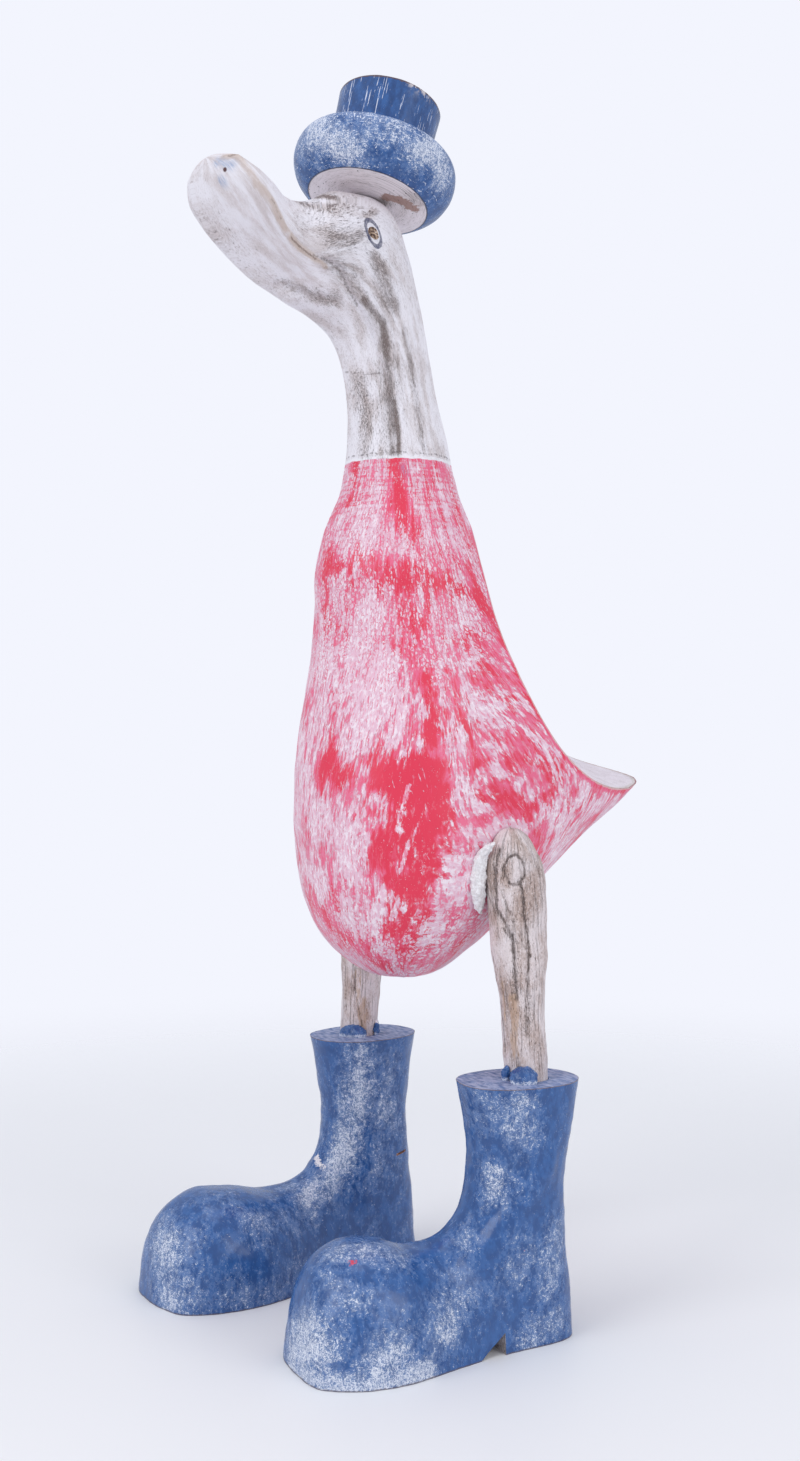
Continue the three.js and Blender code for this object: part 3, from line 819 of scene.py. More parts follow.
def seat_hat(points):
    move = (0, HAT_SEAT["y"], HAT_SEAT["z"])
    return turned(points, HAT_SEAT["tilt"], HAT_SEAT["lean"], 0, move) + CENTRE


def box_tool(name, low, high, place_points, *materials):
    corners = [(x, y, z) for x in (low[0], high[0]) for y in (low[1], high[1])
               for z in (low[2], high[2])]
    faces = [(0, 1, 3, 2), (4, 6, 7, 5), (0, 4, 5, 1), (2, 3, 7, 6), (0, 2, 6, 4), (1, 5, 7, 3)]
    return mesh_object(name, place_points(np.array(corners, float)), faces, *materials)


hat_seat = box_tool("hat seat", (-CLEAR, -CLEAR, -GAP), (CLEAR, CLEAR, CLEAR), seat_hat, bare_wood)

eye_socket, tree = new_material("eye socket")
beads = speckle(place(tree), (0.9, 0.9, 0.9), 3, 0.7)
color = blend(rise(beads, 0.44, 0.56), paint(84, 58, 54), paint(206, 180, 156))
close_material(tree, beads, 0.3, Base_Color=color, Roughness=0.55)

# The drill leaves a ring of a pit with a stump in its middle.
PIT_PROFILE = [(0.9, -0.9), (1.5, -1.5), (2.2, -1.5), (2.6, -0.8), (2.7, 0), (2.7, 6)]
PIT_SIDES = 40


def eye_pit(side):
    centre = on_duck(EYE["row"], EYE["angle"], side)
    out = Vector((side, -0.35, 0.12)).normalized()
    spin = np.array(out.to_track_quat("Z", "Y").to_matrix())
    around = np.linspace(0, 2 * np.pi, PIT_SIDES, endpoint=False)
    rings = [[(r * np.cos(a), r * np.sin(a), h) for a in around] for r, h in PIT_PROFILE]
    ends = np.array([(0, 0, -0.7), (0, 0, 6)]) @ spin.T + centre
    pit = np.array(rings) @ spin.T + centre
    pit = pit + 0.12 * lumps(pit, 0.9, 5)[..., None]
    return closed_skin("eye pit", pit, *ends, eye_socket)


carve(duck, scoop, hat_seat, eye_pit(1), eye_pit(-1))


def edge_between(piece, width, *materials):
    """1 on the edge where faces of two materials meet, and less and less away from it."""
    kinds = [piece.data.materials.find(material.name) for material in materials]
    touched = [set(), set()]
    for face in piece.data.polygons:
        if face.material_index in kinds:
            touched[kinds.index(face.material_index)].update(face.vertices)
    edge = touched[0] & touched[1]
    tree = kdtree.KDTree(len(edge))
    for index in edge:
        tree.insert(piece.data.vertices[index].co / MM, index)
    tree.balance()
    away = np.array([tree.find(vertex.co / MM)[2] for vertex in piece.data.vertices])
    return np.exp(-((away / width) ** 2))


marks = {"flow": flow, "red": red, "stain": stain, "worn": worn, "smudge": smudge}
dress(duck, grid, **marks, crease=crease, scratch=scratch)
mark(duck.data, rim=edge_between(duck, 2.2, duck_paint, hollow_wood))
finish_mesh(duck)
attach(duck, "root")
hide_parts("duck_body")

# The hat is turned from softwood and glued to the head. Its top and sides are painted blue, with
# white rubbed into the scratches, and its flat underside is only rubbed with white.
BRIM_PROFILE = [
    (24, 0), (26.2, 1.2), (30, 5), (32.2, 9.5), (32.8, 13.5), (32.2, 17.5), (30.6, 20.2), (28, 21.2)
]
CROWN_PROFILE = [(20.2, 21.8), (20.9, 43.2), (0, 43.2)]
BRIM_TOP = 21.5
HAT_RINGS = 250
HAT_SIDES = 300

# Blue paint over softwood, rubbed with white that stays in short fine scratches and lies in
# clouds where the haze is
blue_coat, inside = new_group(
    "rubbed blue paint",
    {
        "Place": (0.0, 0.0, 0.0),
        "Haze": 0.0,
        "Blue": paint(54, 97, 157),
        "Deep": paint(32, 64, 118),
        "Veil": paint(140, 164, 204),
        "White": paint(230, 234, 245),
    },
    {"Color": "Color", "Roughness": "Float", "Height": "Float"},
)
at = inside["Place"]
clouds = speckle(at, (13, 13, 17), 3, 0.6)
mottle = speckle(at, (3.5, 3.5, 5), 3, 0.65)
grit = speckle(at, (1.2, 1.2, 1.6), 2, 0.6)
across = speckle(at, (1.1, 1.1, 0.45), 2, 0.6, 1.6)
down = speckle(at, (0.5, 0.5, 1.2), 2, 0.6, 1.6)
nicks = calc("MAXIMUM", across, down)
hazed = inside["Haze"] + (clouds - 0.5) * 1.4 + (mottle - 0.5)
hazed = calc("MINIMUM", calc("MAXIMUM", hazed, 0.0), 1.0)
color = blend(rise(mottle, 0.6, 0.38) * 0.55, inside["Blue"], inside["Deep"])
veil = rise(hazed + (grit - 0.5) * 1.2, 0.02, 1.2) * 0.66
color = blend(veil, color, inside["Veil"])
need = spread(hazed + (grit - 0.5) * 1.1, 0.75, 0.515)
nick = rise(nicks - need, 0.0, 0.025)
color = blend(nick * 0.95, color, inside["White"])
height = mottle * 0.7 + grit * 0.35 - nick * 0.35
close_group(blue_coat, Color=color, Roughness=veil * 0.4 + 0.25, Height=height)

hat_paint, tree = new_material("hat paint")
at = attribute(tree, "turned", "Vector")
radius = calc_place("LENGTH", "Value", a=calc_place("MULTIPLY", a=at, b=(1, 1, 0)))
level = axis(at, "Z")
haze = attribute(tree, "haze")
coat = use_group(tree, blue_coat, {"Place": at, "Haze": haze})
on_crown = rise(level, 22, 23.5)
on_brim = rise(level, BRIM_TOP, BRIM_TOP - 1)
# Painted shade on the crown: it is darkened in mottled patches, since the light from above leaves
# it too bright
crown_shade = rise(speckle(at, (2.5, 2.5, 7), 3, 0.65), 0.35, 0.65) * on_crown
color = blend(crown_shade * 0.5, coat["Color"], paint(38, 62, 106))
# White in upright scratches on the crown, and in short turned ones and flecks on the brim
scratches = speckle(at, (0.42, 0.42, 22), 1, 0.5) + speckle(at, (0.5, 0.5, 1.6), 1) * 0.22
scratches = rise(scratches + speckle(at, (8, 8, 30), 1) * 0.25, 0.9, 0.93) * on_crown
color = blend(scratches * 0.85, color, paint(224, 228, 242))
circle = calc("ARCTAN2", axis(at, "Y"), axis(at, "X"))
circle = node(tree, "CombineXYZ", {0: circle * 13.0, 2: level * 1.9})
around = rise(speckle(circle, (1, 1, 1), 2, 0.5, 0.8) + haze * 0.1, 0.69, 0.73) * on_brim
color = blend(around * 0.8, color, paint(222, 228, 242))
near_top = rise(abs(level - 18), 5, 1)
flecks = rise(speckle(at, (0.6, 0.6, 2.2), 2, 0.5) + near_top * 0.12, 0.71, 0.75) * on_brim
color = blend(flecks * 0.8, color, paint(222, 228, 242))
# Painted shade in the corner where the crown meets the brim, bare wood on the crown's top edge, and
# a chip out of it
ragged = speckle(at, (2.2, 2.2, 2.2), 3, 0.7) * 1.6
corner_shade = rise(level, 24.4, 23.2) * rise(level, 21.3, 21.6) * rise(radius - ragged, 21.4, 20.6)
color = blend(corner_shade * 0.85, color, paint(40, 42, 58))
rim = rise(level + ragged, 42.9, 43.3) * rise(radius, 19.4, 20.0)
color = blend(rim * 0.85, color, paint(98, 76, 72))
chips = attribute(tree, "chips") * rise(ragged, 0.75, 0.9)
color = blend(chips, color, paint(206, 198, 200))
# The underside, with its turned grain, a bare patch, small holes and a dark edge
under_wood = {
    "Along": node(tree, "CombineXYZ", {0: radius, 2: axis(at, "X") * 0.5}),
    "Grain": 0.1,
    "Dirt": attribute(tree, "soil"),
    "Bare": 0.25,
    "Wash": paint(244, 236, 241),
}
under = use_group(tree, washed_wood, under_wood)
paint_edge = radius + ragged * 0.3
is_under = rise(level, 1.3, 0.9) * rise(paint_edge, 24.4, 24.1)
bare = rise(attribute(tree, "bare") + (ragged - 0.8) * 0.9, 0.4, 0.6)
wood_under = blend(bare * 0.8, under["Color"], paint(150, 108, 92))
holes = speckle(at, (1.3, 1.3, 1.3), 0)
wood_under = blend(rise(holes, 0.8, 0.82), wood_under, paint(40, 34, 40))
color = blend(is_under, color, wood_under)
edge_line = rise(abs(paint_edge - 24.35), 0.45, 0.15) * rise(level, 1.6, 1.2)
color = blend(edge_line * 0.8, color, paint(44, 46, 66))
height = mix(is_under, coat["Height"], under["Height"])
roughness = mix(is_under, coat["Roughness"], 0.66)
close_material(tree, height, 0.12, Base_Color=color, Roughness=roughness)

# The hat's half outline is turned round its middle, made a little uneven, and set on its seat.
brim = along(BRIM_PROFILE, np.linspace(0, 1, 60))
outline = [(0.0, 0.0), *map(tuple, brim), *map(tuple, CROWN_PROFILE)]
profile_mesh = bpy.data.meshes.new("hat profile")
profile_points = [(radius * MM, 0.0, height * MM) for radius, height in outline]
profile_mesh.from_pydata(profile_points, [(i, i + 1) for i in range(len(outline) - 1)], [])
hat = bpy.data.objects.new("hat_turned", profile_mesh)
bpy.context.scene.collection.objects.link(hat)

lathe = bpy.data.node_groups.new("turned piece", "GeometryNodeTree")
LATHE_INPUTS = {
    "Profile": "NodeSocketGeometry",
    "Rings": "NodeSocketInt",
    "Sides": "NodeSocketInt",
    "Wobble": "NodeSocketFloat",
    "Wobble Size": "NodeSocketFloat",
    "Seat": "NodeSocketVector",
    "Lean": "NodeSocketRotation",
    "Paint": "NodeSocketMaterial",
}
lathe_ids = {}
for label, kind in LATHE_INPUTS.items():
    socket = lathe.interface.new_socket(label, in_out="INPUT", socket_type=kind)
    lathe_ids[label] = socket.identifier
lathe.interface.new_socket("Turned", in_out="OUTPUT", socket_type="NodeSocketGeometry")
given = lathe.nodes.new("NodeGroupInput").outputs
given = {label: Value(given[label]) for label in LATHE_INPUTS}
plate = {"Vertices X": given["Sides"] + 1.0, "Vertices Y": given["Rings"]}
plate = node(lathe, "GeometryNodeMeshGrid", plate)
unrolled = Value(plate.socket.node.outputs["UV Map"])
curve = node(lathe, "GeometryNodeMeshToCurve", {"Mesh": given["Profile"]})
cut = {"Curves": curve, "Factor": axis(unrolled, "Y")}
cut = node(lathe, "GeometryNodeSampleCurve", cut, output="Position", use_all_curves=True)
angle = axis(unrolled, "X") * (2 * math.pi)
x, y = (axis(cut, "X") * calc(operation, angle) for operation in ("COSINE", "SINE"))
spot = node(lathe, "CombineXYZ", {0: x, 1: y, 2: axis(cut, "Z")})
wood = node(lathe, "GeometryNodeSetPosition", {"Geometry": plate, "Position": spot})
wood = node(lathe, "GeometryNodeMergeByDistance", {"Geometry": wood, "Distance": 0.02 * MM})
in_mm = {0: node(lathe, "GeometryNodeInputPosition"), "Scale": 1000.0}
in_mm = node(lathe, "VectorMath", in_mm, operation="SCALE")
kept = {"data_type": "FLOAT_VECTOR", "domain": "POINT"}
wood = {"Geometry": wood, "Name": "turned", "Value": in_mm}
wood = node(lathe, "GeometryNodeStoreNamedAttribute", wood, **kept)
soft = node(lathe, "TexNoise", {"Vector": in_mm, "Scale": given["Wobble Size"], "Detail": 2.0})
offset = {0: node(lathe, "GeometryNodeInputNormal"), "Scale": (soft - 1.0) * given["Wobble"]}
offset = node(lathe, "VectorMath", offset, operation="SCALE")
wood = node(lathe, "GeometryNodeSetPosition", {"Geometry": wood, "Offset": offset})
seat = {"Geometry": wood, "Translation": given["Seat"], "Rotation": given["Lean"]}
wood = node(lathe, "GeometryNodeTransform", seat)
wood = node(lathe, "GeometryNodeRealizeInstances", {"Geometry": wood})
wood = node(lathe, "GeometryNodeSetMaterial", {"Geometry": wood, "Material": given["Paint"]})
feed(lathe.nodes.new("NodeGroupOutput"), {0: wood})

turning = hat.modifiers.new("turning", "NODES")
turning.node_group = lathe
HAT_SETTINGS = {
    "Rings": HAT_RINGS,
    "Sides": HAT_SIDES,
    "Wobble": 0.35 * MM,
    "Wobble Size": 0.09,
    "Seat": ((CENTRE + (0, HAT_SEAT["y"], HAT_SEAT["z"])) * MM).tolist(),
    "Lean": (math.radians(HAT_SEAT["tilt"]), math.radians(HAT_SEAT["lean"]), 0.0),
    "Paint": hat_paint,
}
for label, value in HAT_SETTINGS.items():
    turning[lathe_ids[label]] = value
graph = bpy.context.evaluated_depsgraph_get()
hat_mesh = bpy.data.meshes.new_from_object(hat.evaluated_get(graph))
hat.modifiers.clear()
hat.data = hat_mesh
turned_at = np.zeros(len(hat_mesh.vertices) * 3)
hat_mesh.attributes["turned"].data.foreach_get("vector", turned_at)
turned_at = turned_at.reshape(-1, 3)

# Clouds of white on the hat: radius, strength and the places they run through, from its seat
HAT_HAZE = [
    (9, 0.8, [(17.7, -23.1, 4.2), (12, -29, 9), (6, -31, 14)]),
    (8, 0.8, [(32.3, 0.6, 10.8), (31, 6, 15), (27, 16, 10)]),
    (7, 0.6, [(26, -18, 13), (30, -8, 16)]),
    (8, 0.6, [(-4, -32, 10), (-10, -30, 16), (-16, -28, 10)]),
    (9, 0.5, [(-25, 20, 12), (-30, 0, 12)]),
    (4, 0.4, [(2, -20.5, 40), (1, -20.5, 26)]),
    (2.4, 0.4, [(7, -19.5, 23), (10, -18, 24)]),
    (3.0, 0.5, [(19, 7, 27), (20, 3, 25)]),
]
BRIM_HAZE, CROWN_HAZE = 0.14, -0.36
TORN_RIM = [(2.0, 1.0, [(20.5, -3, 43), (20.5, 5, 42.5)])]
GLUE_STAIN = [(3.4, 0.9, [(10, 3, 0), (13, 8, 0), (12, 14, 0)])]
SOIL = [(3, 0.8, [(3, 1, 0), (6, 4, 0)]), (4, 0.4, [(20, 8, 0), (18, 14, 0)])]


def spots(points, rows):
    """The strongest of several marks at each point."""
    marks = np.zeros(points.shape[:-1])
    for width, strength, path in rows:
        if len(path) == 1:
            path = [path[0], np.array(path[0]) + 0.01]
        marks = np.maximum(marks, strength * near_path(points, path, width))
    return marks


all_over = np.where(turned_at[:, 2] < BRIM_TOP, BRIM_HAZE, CROWN_HAZE)
mark(
    hat_mesh,
    haze=spots(turned_at, HAT_HAZE) + all_over,
    chips=spots(turned_at, TORN_RIM),
    bare=spots(turned_at, GLUE_STAIN),
    soil=spots(turned_at, SOIL),
)
finish_mesh(hat)
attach(hat, "root")
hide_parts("hat")

# The legs are carved branches, glued to the body's sides with white putty, let into the boots,
# and rubbed with white like the head. Knots and dark grain show through.
BOOT_SPREAD = 55
LEG_SPREAD = 57
BOOT_HEIGHT = 97
SOCKET_DEPTH = 12
LEG_SECTIONS = [
    [-8.2, 0, 8.2, 0, 8, 0.5, 2.2, 2.2],
    [-8.2, 20, 8.2, 20, 8, 0.5, 2.2, 2.2],
    [-9, 42, 9, 42, 8.4, 0.5, 2.2, 2.2],
    [-11.3, 58, 11, 58, 9.6, 0.5, 2.2, 2.2],
    [-12.3, 76, 11.3, 76, 10, 0.5, 2.2, 2.2],
    [-12.8, 92, 10.6, 92, 10, 0.5, 2.2, 2.2],
    [-10, 101, 6.6, 101, 8.4, 0.5, 2, 2],
    [-6, 106, 2.4, 106, 4.6, 0.5, 2, 2],
    [-1.8, 107.3, -1.8, 107.3, 0, 0.5, 2, 2],
]
LEG_ENDS = [(0.0, 0, 0), (0, -1.8, 107.3)]
LEG_RINGS = 190
LEG_SIDES = 130
LEG_LEAN = 0.08
LEG_ROUND = 10  # radius that the grain's lines are laid out on
LEG_APART = 60  # keeps the grain of the two legs different
SIDES = [
    {"name": "left", "side": 1, "turn": 9.5, "length": 0.89, "width": 0.93, "height": 1.08,
     "set": 3.5, "leg_y": 3.4},
    {"name": "right", "side": -1, "turn": 2, "length": 1, "width": 1, "height": 1,
     "set": 0, "leg_y": -1.2},
]

# The grain of the left leg: half-width, strength and the places that each line runs through
KNOT = [
    (59.5, -1.9, 176.8), (60.2, 0.1, 181.1), (61.7, 3.2, 182.5), (63, 5.9, 179.1),
    (63.8, 5.9, 174.2), (63.4, 3.2, 170.9), (61.7, 0.1, 171.4), (59.5, -1.9, 176.8),
]
LEFT_GRAIN = [
    (0.9, 0.9, KNOT),
    (1.3, 0.9, [(56.5, -1.1, 184), (56.5, -3, 176.5), (57.1, -3, 168.3), (56.8, -2.8, 161.8),
                (60.1, -1.5, 156.8), (62.7, 0.3, 151.3)]),
    (1.4, 0.85, [(62.7, 0.3, 151.3), (63.2, 0.9, 144.1), (63.3, 1.3, 138.1), (63.5, 2, 128)]),
    (0.8, 0.8, [(60.1, -1, 176.7), (58.5, -2, 170), (61, -1, 163), (63, 1.5, 156)]),
    (0.9, 0.9, [(63.3, 3.2, 172.2), (63.9, 5.1, 168.4), (64.3, 4.8, 160.1), (65, 6.1, 151.9),
                (65.5, 6.7, 144), (65.4, 5.8, 138)]),
    (1.0, 0.7, [(65.4, 5.8, 138), (65.3, 5.8, 131.2), (65.8, 6.9, 121.8)]),
    (0.6, 0.6, [(63, 11.5, 181), (62.9, 14.1, 172.3), (63.5, 14, 160)]),
    (0.7, 0.6, [(65.7, 8.9, 145.3), (65.8, 9.8, 136.2), (65.7, 9.8, 130.9)]),
    (0.5, 1.0, [(51.8, -3.2, 172), (52.1, -3, 166.3), (55.8, -2.9, 160.2), (60.2, -1.5, 153.8),
                (62.3, 0.1, 150.5)]),
    (3.0, 0.35, [(60, -1.5, 160), (62, 0.5, 148), (64.5, 4, 150)]),
    (2.6, 0.6, [(65.4, 5.8, 130), (65.7, 5.6, 116)]),
    (0.6, 0.6, [(52, -2.5, 150), (54.9, 0.6, 126.5), (56, 1.1, 115.2), (57, 1.4, 104)]),
]
LEFT_BARE = [
    (2.2, 0.9, [(62, 1.2, 128), (62.5, 1.5, 108)]),
    (1.4, 0.7, [(57.5, 0, 140), (57.5, 0.5, 120)]),
]
RIGHT_GRAIN = [
    (0.9, 0.7, [(-44.5, -3, 135), (-45, -1.9, 117), (-43.7, 2, 98)]),
    (0.8, 0.6, [(-50, -4, 130), (-50.5, -3.6, 107.7)]),
    (1.0, 0.6, [(-62, 3, 180), (-63, 1, 150), (-60, 4, 110)]),
    (1.4, 0.8, [(-58, -4, 184), (-57, -6, 170), (-58, -5, 150), (-60, -2, 128)]),
    (0.9, 0.8, [(-60, 12, 176), (-62, 10, 160), (-61, 8, 130)]),
]
RIGHT_BARE = [
    (2.6, 0.9, [(-45.5, 0, 125), (-44.5, 2, 100)]),
    (2.0, 0.6, [(-62, 0, 150), (-61, 2, 120)]),
]

leg_wood, tree = new_material("leg wood")
flow = attribute(tree, "flow", "Vector")
stain = attribute(tree, "stain")
dry_wood = {
    "Along": flow,
    "Grain": 0.75,
    "Dirt": stain * 0.55,
    "Bare": 0.9,
    "Wash": paint(226, 214, 214),
    "Wood": paint(178, 153, 142),
    "Dark": paint(86, 72, 70),
}
wood = use_group(tree, washed_wood, dry_wood)
bare = rise(speckle(flow, (1.2, 1.2, 5), 3, 0.6) + attribute(tree, "worn") * 0.5, 0.68, 0.85)
color = blend(bare * 0.6, wood["Color"], paint(190, 156, 128))
knot = rise(stain + (speckle(flow, (0.5, 0.5, 2.6), 3, 0.65) - 0.5) * 1.6, 0.5, 0.85)
color = blend(knot * 0.7, color, paint(92, 78, 74))
close_material(tree, wood["Height"], 0.35, Base_Color=color, Roughness=0.66)


def place_leg(points, which):
    lean = -LEG_LEAN * which["side"] * points[..., 2]
    x = points[..., 0] + lean + which["side"] * LEG_SPREAD
    y = points[..., 1] + which["leg_y"]
    z = points[..., 2] + BOOT_HEIGHT - SOCKET_DEPTH
    return np.stack([x, y, z], -1) + CENTRE


def leg_grid(which, grow=0):
    t = even_rings(LEG_SECTIONS, LEG_RINGS)[:-1]
    turn = even_turn(LEG_SECTIONS, t, LEG_SIDES)
    return place_leg(skin(LEG_SECTIONS, t, turn, grow), which), t, turn


def close_leg(name, grid, which, *materials):
    ends = place_leg(np.array(LEG_ENDS), which)
    return closed_skin(name, grid, *ends, *materials)


def body_tool():
    """The duck's body, grown by the gap at a glued joint, for cutting."""
    t = np.linspace(0, 1, 120)[1:-1]
    turn = np.linspace(-np.pi / 2, 1.5 * np.pi, 120, endpoint=False)[None, :] + 0 * t[:, None]
    grid = pose_duck(skin(DUCK_SECTIONS, t, turn, GAP))
    ends = pose_duck(np.array([LOWEST_POINT, BILL_TIP]))
    return closed_skin("body tool", grid, *ends, leg_wood)


for which, grain, bare in zip(SIDES, (LEFT_GRAIN, RIGHT_GRAIN), (LEFT_BARE, RIGHT_BARE)):
    grid, t, turn = leg_grid(which)
    flow = [LEG_ROUND * np.cos(turn), LEG_ROUND * np.sin(turn), grid[..., 2]]
    flow = np.stack(flow, -1) + LEG_APART * which["side"]
    stain = spots(grid, grain)
    relief = 0.5 * lumps(grid, 12, 11) + 0.15 * lumps(grid, 2.5, 12, (1, 1, 5)) - 0.3 - 0.45 * stain
    grid = grid + outward(grid) * (relief * smooth(t, 1, 0.97)[:, None])[..., None]
    leg = close_leg(which["name"] + "_leg_carved", grid, which, leg_wood)
    carve(leg, body_tool())
    dress(leg, grid, flow=flow, stain=stain, worn=spots(grid, bare))
    finish_mesh(leg)
    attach(leg, "root")
    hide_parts(which["name"] + "_leg")

# White putty fills the joint between the body and the front of each leg's top. It was pressed
# on by hand as a strip, and dried ragged.
PUTTY_ROWS = [
    (57, -3.6, 187), (52.5, -5.6, 182), (50.6, -6.2, 176), (50, -6, 170), (48.6, -4.6, 164),
    (46.6, -2.6, 159),
]
PUTTY_RADII = (1.2, 2.2, 2.9, 3.0, 2.4, 1.2)
PUTTY_MIRROR = 3.9  # x of the plane between the two strips
RIGHT_PUTTY_AHEAD = 4.6  # how much further forward the right strip lies
putty, tree = new_material("putty")
here = place(tree)
crumbs = speckle(here, (1, 1, 1), 3, 0.7)
color = blend(rise(crumbs, 0.4, 0.62), paint(226, 221, 222), paint(248, 246, 248))
close_material(tree, crumbs, 0.4, Base_Color=color, Roughness=0.8)


def bead(name, centres, radii, seed, rough, *materials, squash=1.0):
    """A lumpy closed tube through the centres, squashed across it."""
    t = np.linspace(0, 1, 56)
    path = along(centres, t)
    width = along(np.array(radii)[:, None], t)[:, 0] * np.sqrt(np.clip(1 - (2 * t - 1) ** 6, 0, 1))
    ahead = np.gradient(path, axis=0)
    ahead /= np.linalg.norm(ahead, axis=1, keepdims=True)
    side = np.cross(ahead, (1.0, 0.0, 0.0))
    side /= np.linalg.norm(side, axis=1, keepdims=True)
    up = np.cross(side, ahead)
    turn = np.linspace(0, 2 * np.pi, 40, endpoint=False)[None, :, None]
    ring = np.cos(turn) * side[:, None] + squash * np.sin(turn) * up[:, None]
    grid = path[1:-1, None] + ring[1:-1] * width[1:-1, None, None]
    grid = grid + outward(grid) * (rough * lumps(grid, 1.6, seed))[..., None]
    return outward_faces(closed_skin(name, grid, path[0], path[-1], *materials))


for which in SIDES:
    side, ahead = which["side"], RIGHT_PUTTY_AHEAD * (1 - which["side"]) / 2
    rows = [((x - PUTTY_MIRROR) * side + PUTTY_MIRROR, y - ahead, z) for x, y, z in PUTTY_ROWS]
    strip = bead(which["name"] + "_putty", rows, PUTTY_RADII, 40 + side, 0.8, putty, squash=0.8)
    finish_mesh(strip, 60)
    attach(strip, "root")

# The boots are carved from softwood by eye, so the left foot is shorter and higher than the
# right. Each is sawn flat underneath, with a notch in front of the heel, and painted blue.
BOOT_SECTIONS = [
    [-102, 6, -102, 4, 0, 0.5, 2, 2],
    [-98, 26, -101, -12, 16, 0.6, 2.3, 2.3],
    [-91.2, 36, -94, -17, 23.5, 0.62, 2.4, 2.4],
    [-79, 41.5, -80, -18, 28.3, 0.64, 2.4, 2.4],
    [-63, 40.5, -63, -18, 28.8, 0.64, 2.4, 2.4],
    [-51, 37.2, -38, -18, 24.5, 0.64, 2.5, 2.5],
    [-40, 37.2, -8, -18, 18, 0.6, 2.6, 2.6],
    [-32, 39.2, 22, -14, 15.5, 0.56, 2.6, 2.6],
    [-26, 43, 24.3, 12, 15.8, 0.52, 2.4, 2.4],
    [-20.7, 51, 22, 38, 16, 0.5, 2.2, 2.2],
    [-19, 64, 20, 62, 16, 0.5, 2.2, 2.2],
    [-20.5, 80, 21.5, 80, 16.6, 0.5, 2.3, 2.3],
    [-24, 97, 24, 97, 18.5, 0.5, 2.3, 2.3],
]
BOOT_ENDS = [(0, -102.0, 5.0), (0, 0, 97.0)]
BOOT_RINGS = 250
BOOT_SIDES = 210
HEEL_NOTCH = [(-13.5, 8), (-25.9, -1), (-13.5, -1)]
FOOT_GROWS = (15, 70)
INSTEP_GROWS = (10, 40)
SHAFT_FROM = 20
BOOT_HAZE = {
    "right": [
        (9, 0.9, [
            (-36.3, -5, 92), (-36.5, -4.7, 76), (-39, -8, 62), (-41, -11, 48), (-39, -17, 40),
            (-37, -28, 35),
        ]),
        (9, 0.4, [(-35, 10, 84), (-35, 8, 60), (-34, 4, 36)]),
        (6, 0.5, [(-42, -22, 40), (-46, -34, 37)]),
        (13, 0.66, [(-44, -92, 26), (-34, -93, 8)]),
        (10, 0.35, [(-27.8, -62, 30), (-28, -50, 28)]),
        (9, 0.5, [(-22, -70, 6), (-30, -40, 5)]),
        (8, 0.5, [(-60, -90, 20), (-70, -80, 8)]),
        (8, 0.5, [(-70, 0, 80), (-72, 0, 50)]),
        (8, 0.5, [(-52, 29, 80), (-52, 29, 40)]),
    ],
    "left": [
        (9, 0.5, [(64.5, -16, 92), (62, -15, 80)]),
        (9, 0.6, [(75, -5, 90), (73.5, -3, 78)]),
        (7, 0.75, [(67, -12, 66), (68.5, -11, 56)]),
        (7, 0.6, [(60, -20, 46), (63, -22, 42)]),
        (9, 0.75, [(74.5, 13, 40), (74.7, 8, 20)]),
        (10, 0.7, [(74.7, 10, 8), (74.7, 0, 6)]),
        (10, 0.6, [(73, -3, 36), (72, -10, 22)]),
        (15, 1.1, [(56, -82, 14), (48, -80, 8)]),
        (7, 1.2, [(40, -86, 2), (60, -84, 2), (74, -66, 2), (76, -48, 2)]),
        (12, 0.85, [(74, -62, 12), (72, -68, 4)]),
        (8, 0.6, [(56, -75, 34), (66, -70, 30)]),
        (12, 0.75, [(72.5, -40, 16), (71, -28, 26)]),
        (10, 0.65, [(50, -68, 42), (60, -52, 40)]),
        (9, 0.5, [(30, -60, 20), (34, -30, 20)]),
        (9, 0.5, [(44, 4, 80), (44, 4, 40)]),
        (8, 0.5, [(60, 27, 70), (60, 27, 30)]),
    ],
}
BASE_HAZE = {"right": 0.07, "left": -0.04}
# Dents and ridges from the knife: half-width, height and the places they run through
BOOT_DENTS = {
    "right": [
        (5, -0.8, [(-28, -60, 24), (-27, -50, 18)]),
        (1.6, 0.8, [(-52, -17.5, 44.5), (-50.5, -18.4, 44.6)]),
        (1.3, -0.7, [(-53.5, -16.5, 46.5), (-50, -17.5, 46.8), (-46, -16, 46)]),
    ],
    "left": [
        (4, -2.2, [(73, -3, 68), (71.5, -6.4, 63.8), (68.1, -11.7, 53.2), (64.6, -19.2, 42.5)]),
        (4, 0.9, [(75.1, 8, 66), (74, 0, 55), (71.2, -9.5, 40)]),
        (6, 0.6, [(67, -12, 64), (66, -15, 54)]),
        (5, -0.8, [(64, -45, 40), (68, -40, 32)]),
        (6, -0.7, [(44, -79, 26), (48, -80, 12)]),
        (4, 0.5, [(75, 9, 70), (75, 9, 66)]),
    ],
}
RED_SPECKS = [
    (1.7, 0.85, [(58.5, -68.2, 40.7), (59, -67.6, 40.9)]),
    (0.7, 0.9, [(55.1, -77.3, 34.7)]),
]
WHITE_CHIPS = [
    (1.8, 0.85, [(-52.5, -16.4, 45.4), (-48.3, -18.4, 44.6), (-44, -18.6, 43.6)]),
    (0.6, 1.0, [(-50.8, -83.4, 37.1)]),
    (0.5, 1.0, [(-36.4, 15.5, 42)]),
    (0.5, 1.0, [(-35.6, 11, 41)]),
]

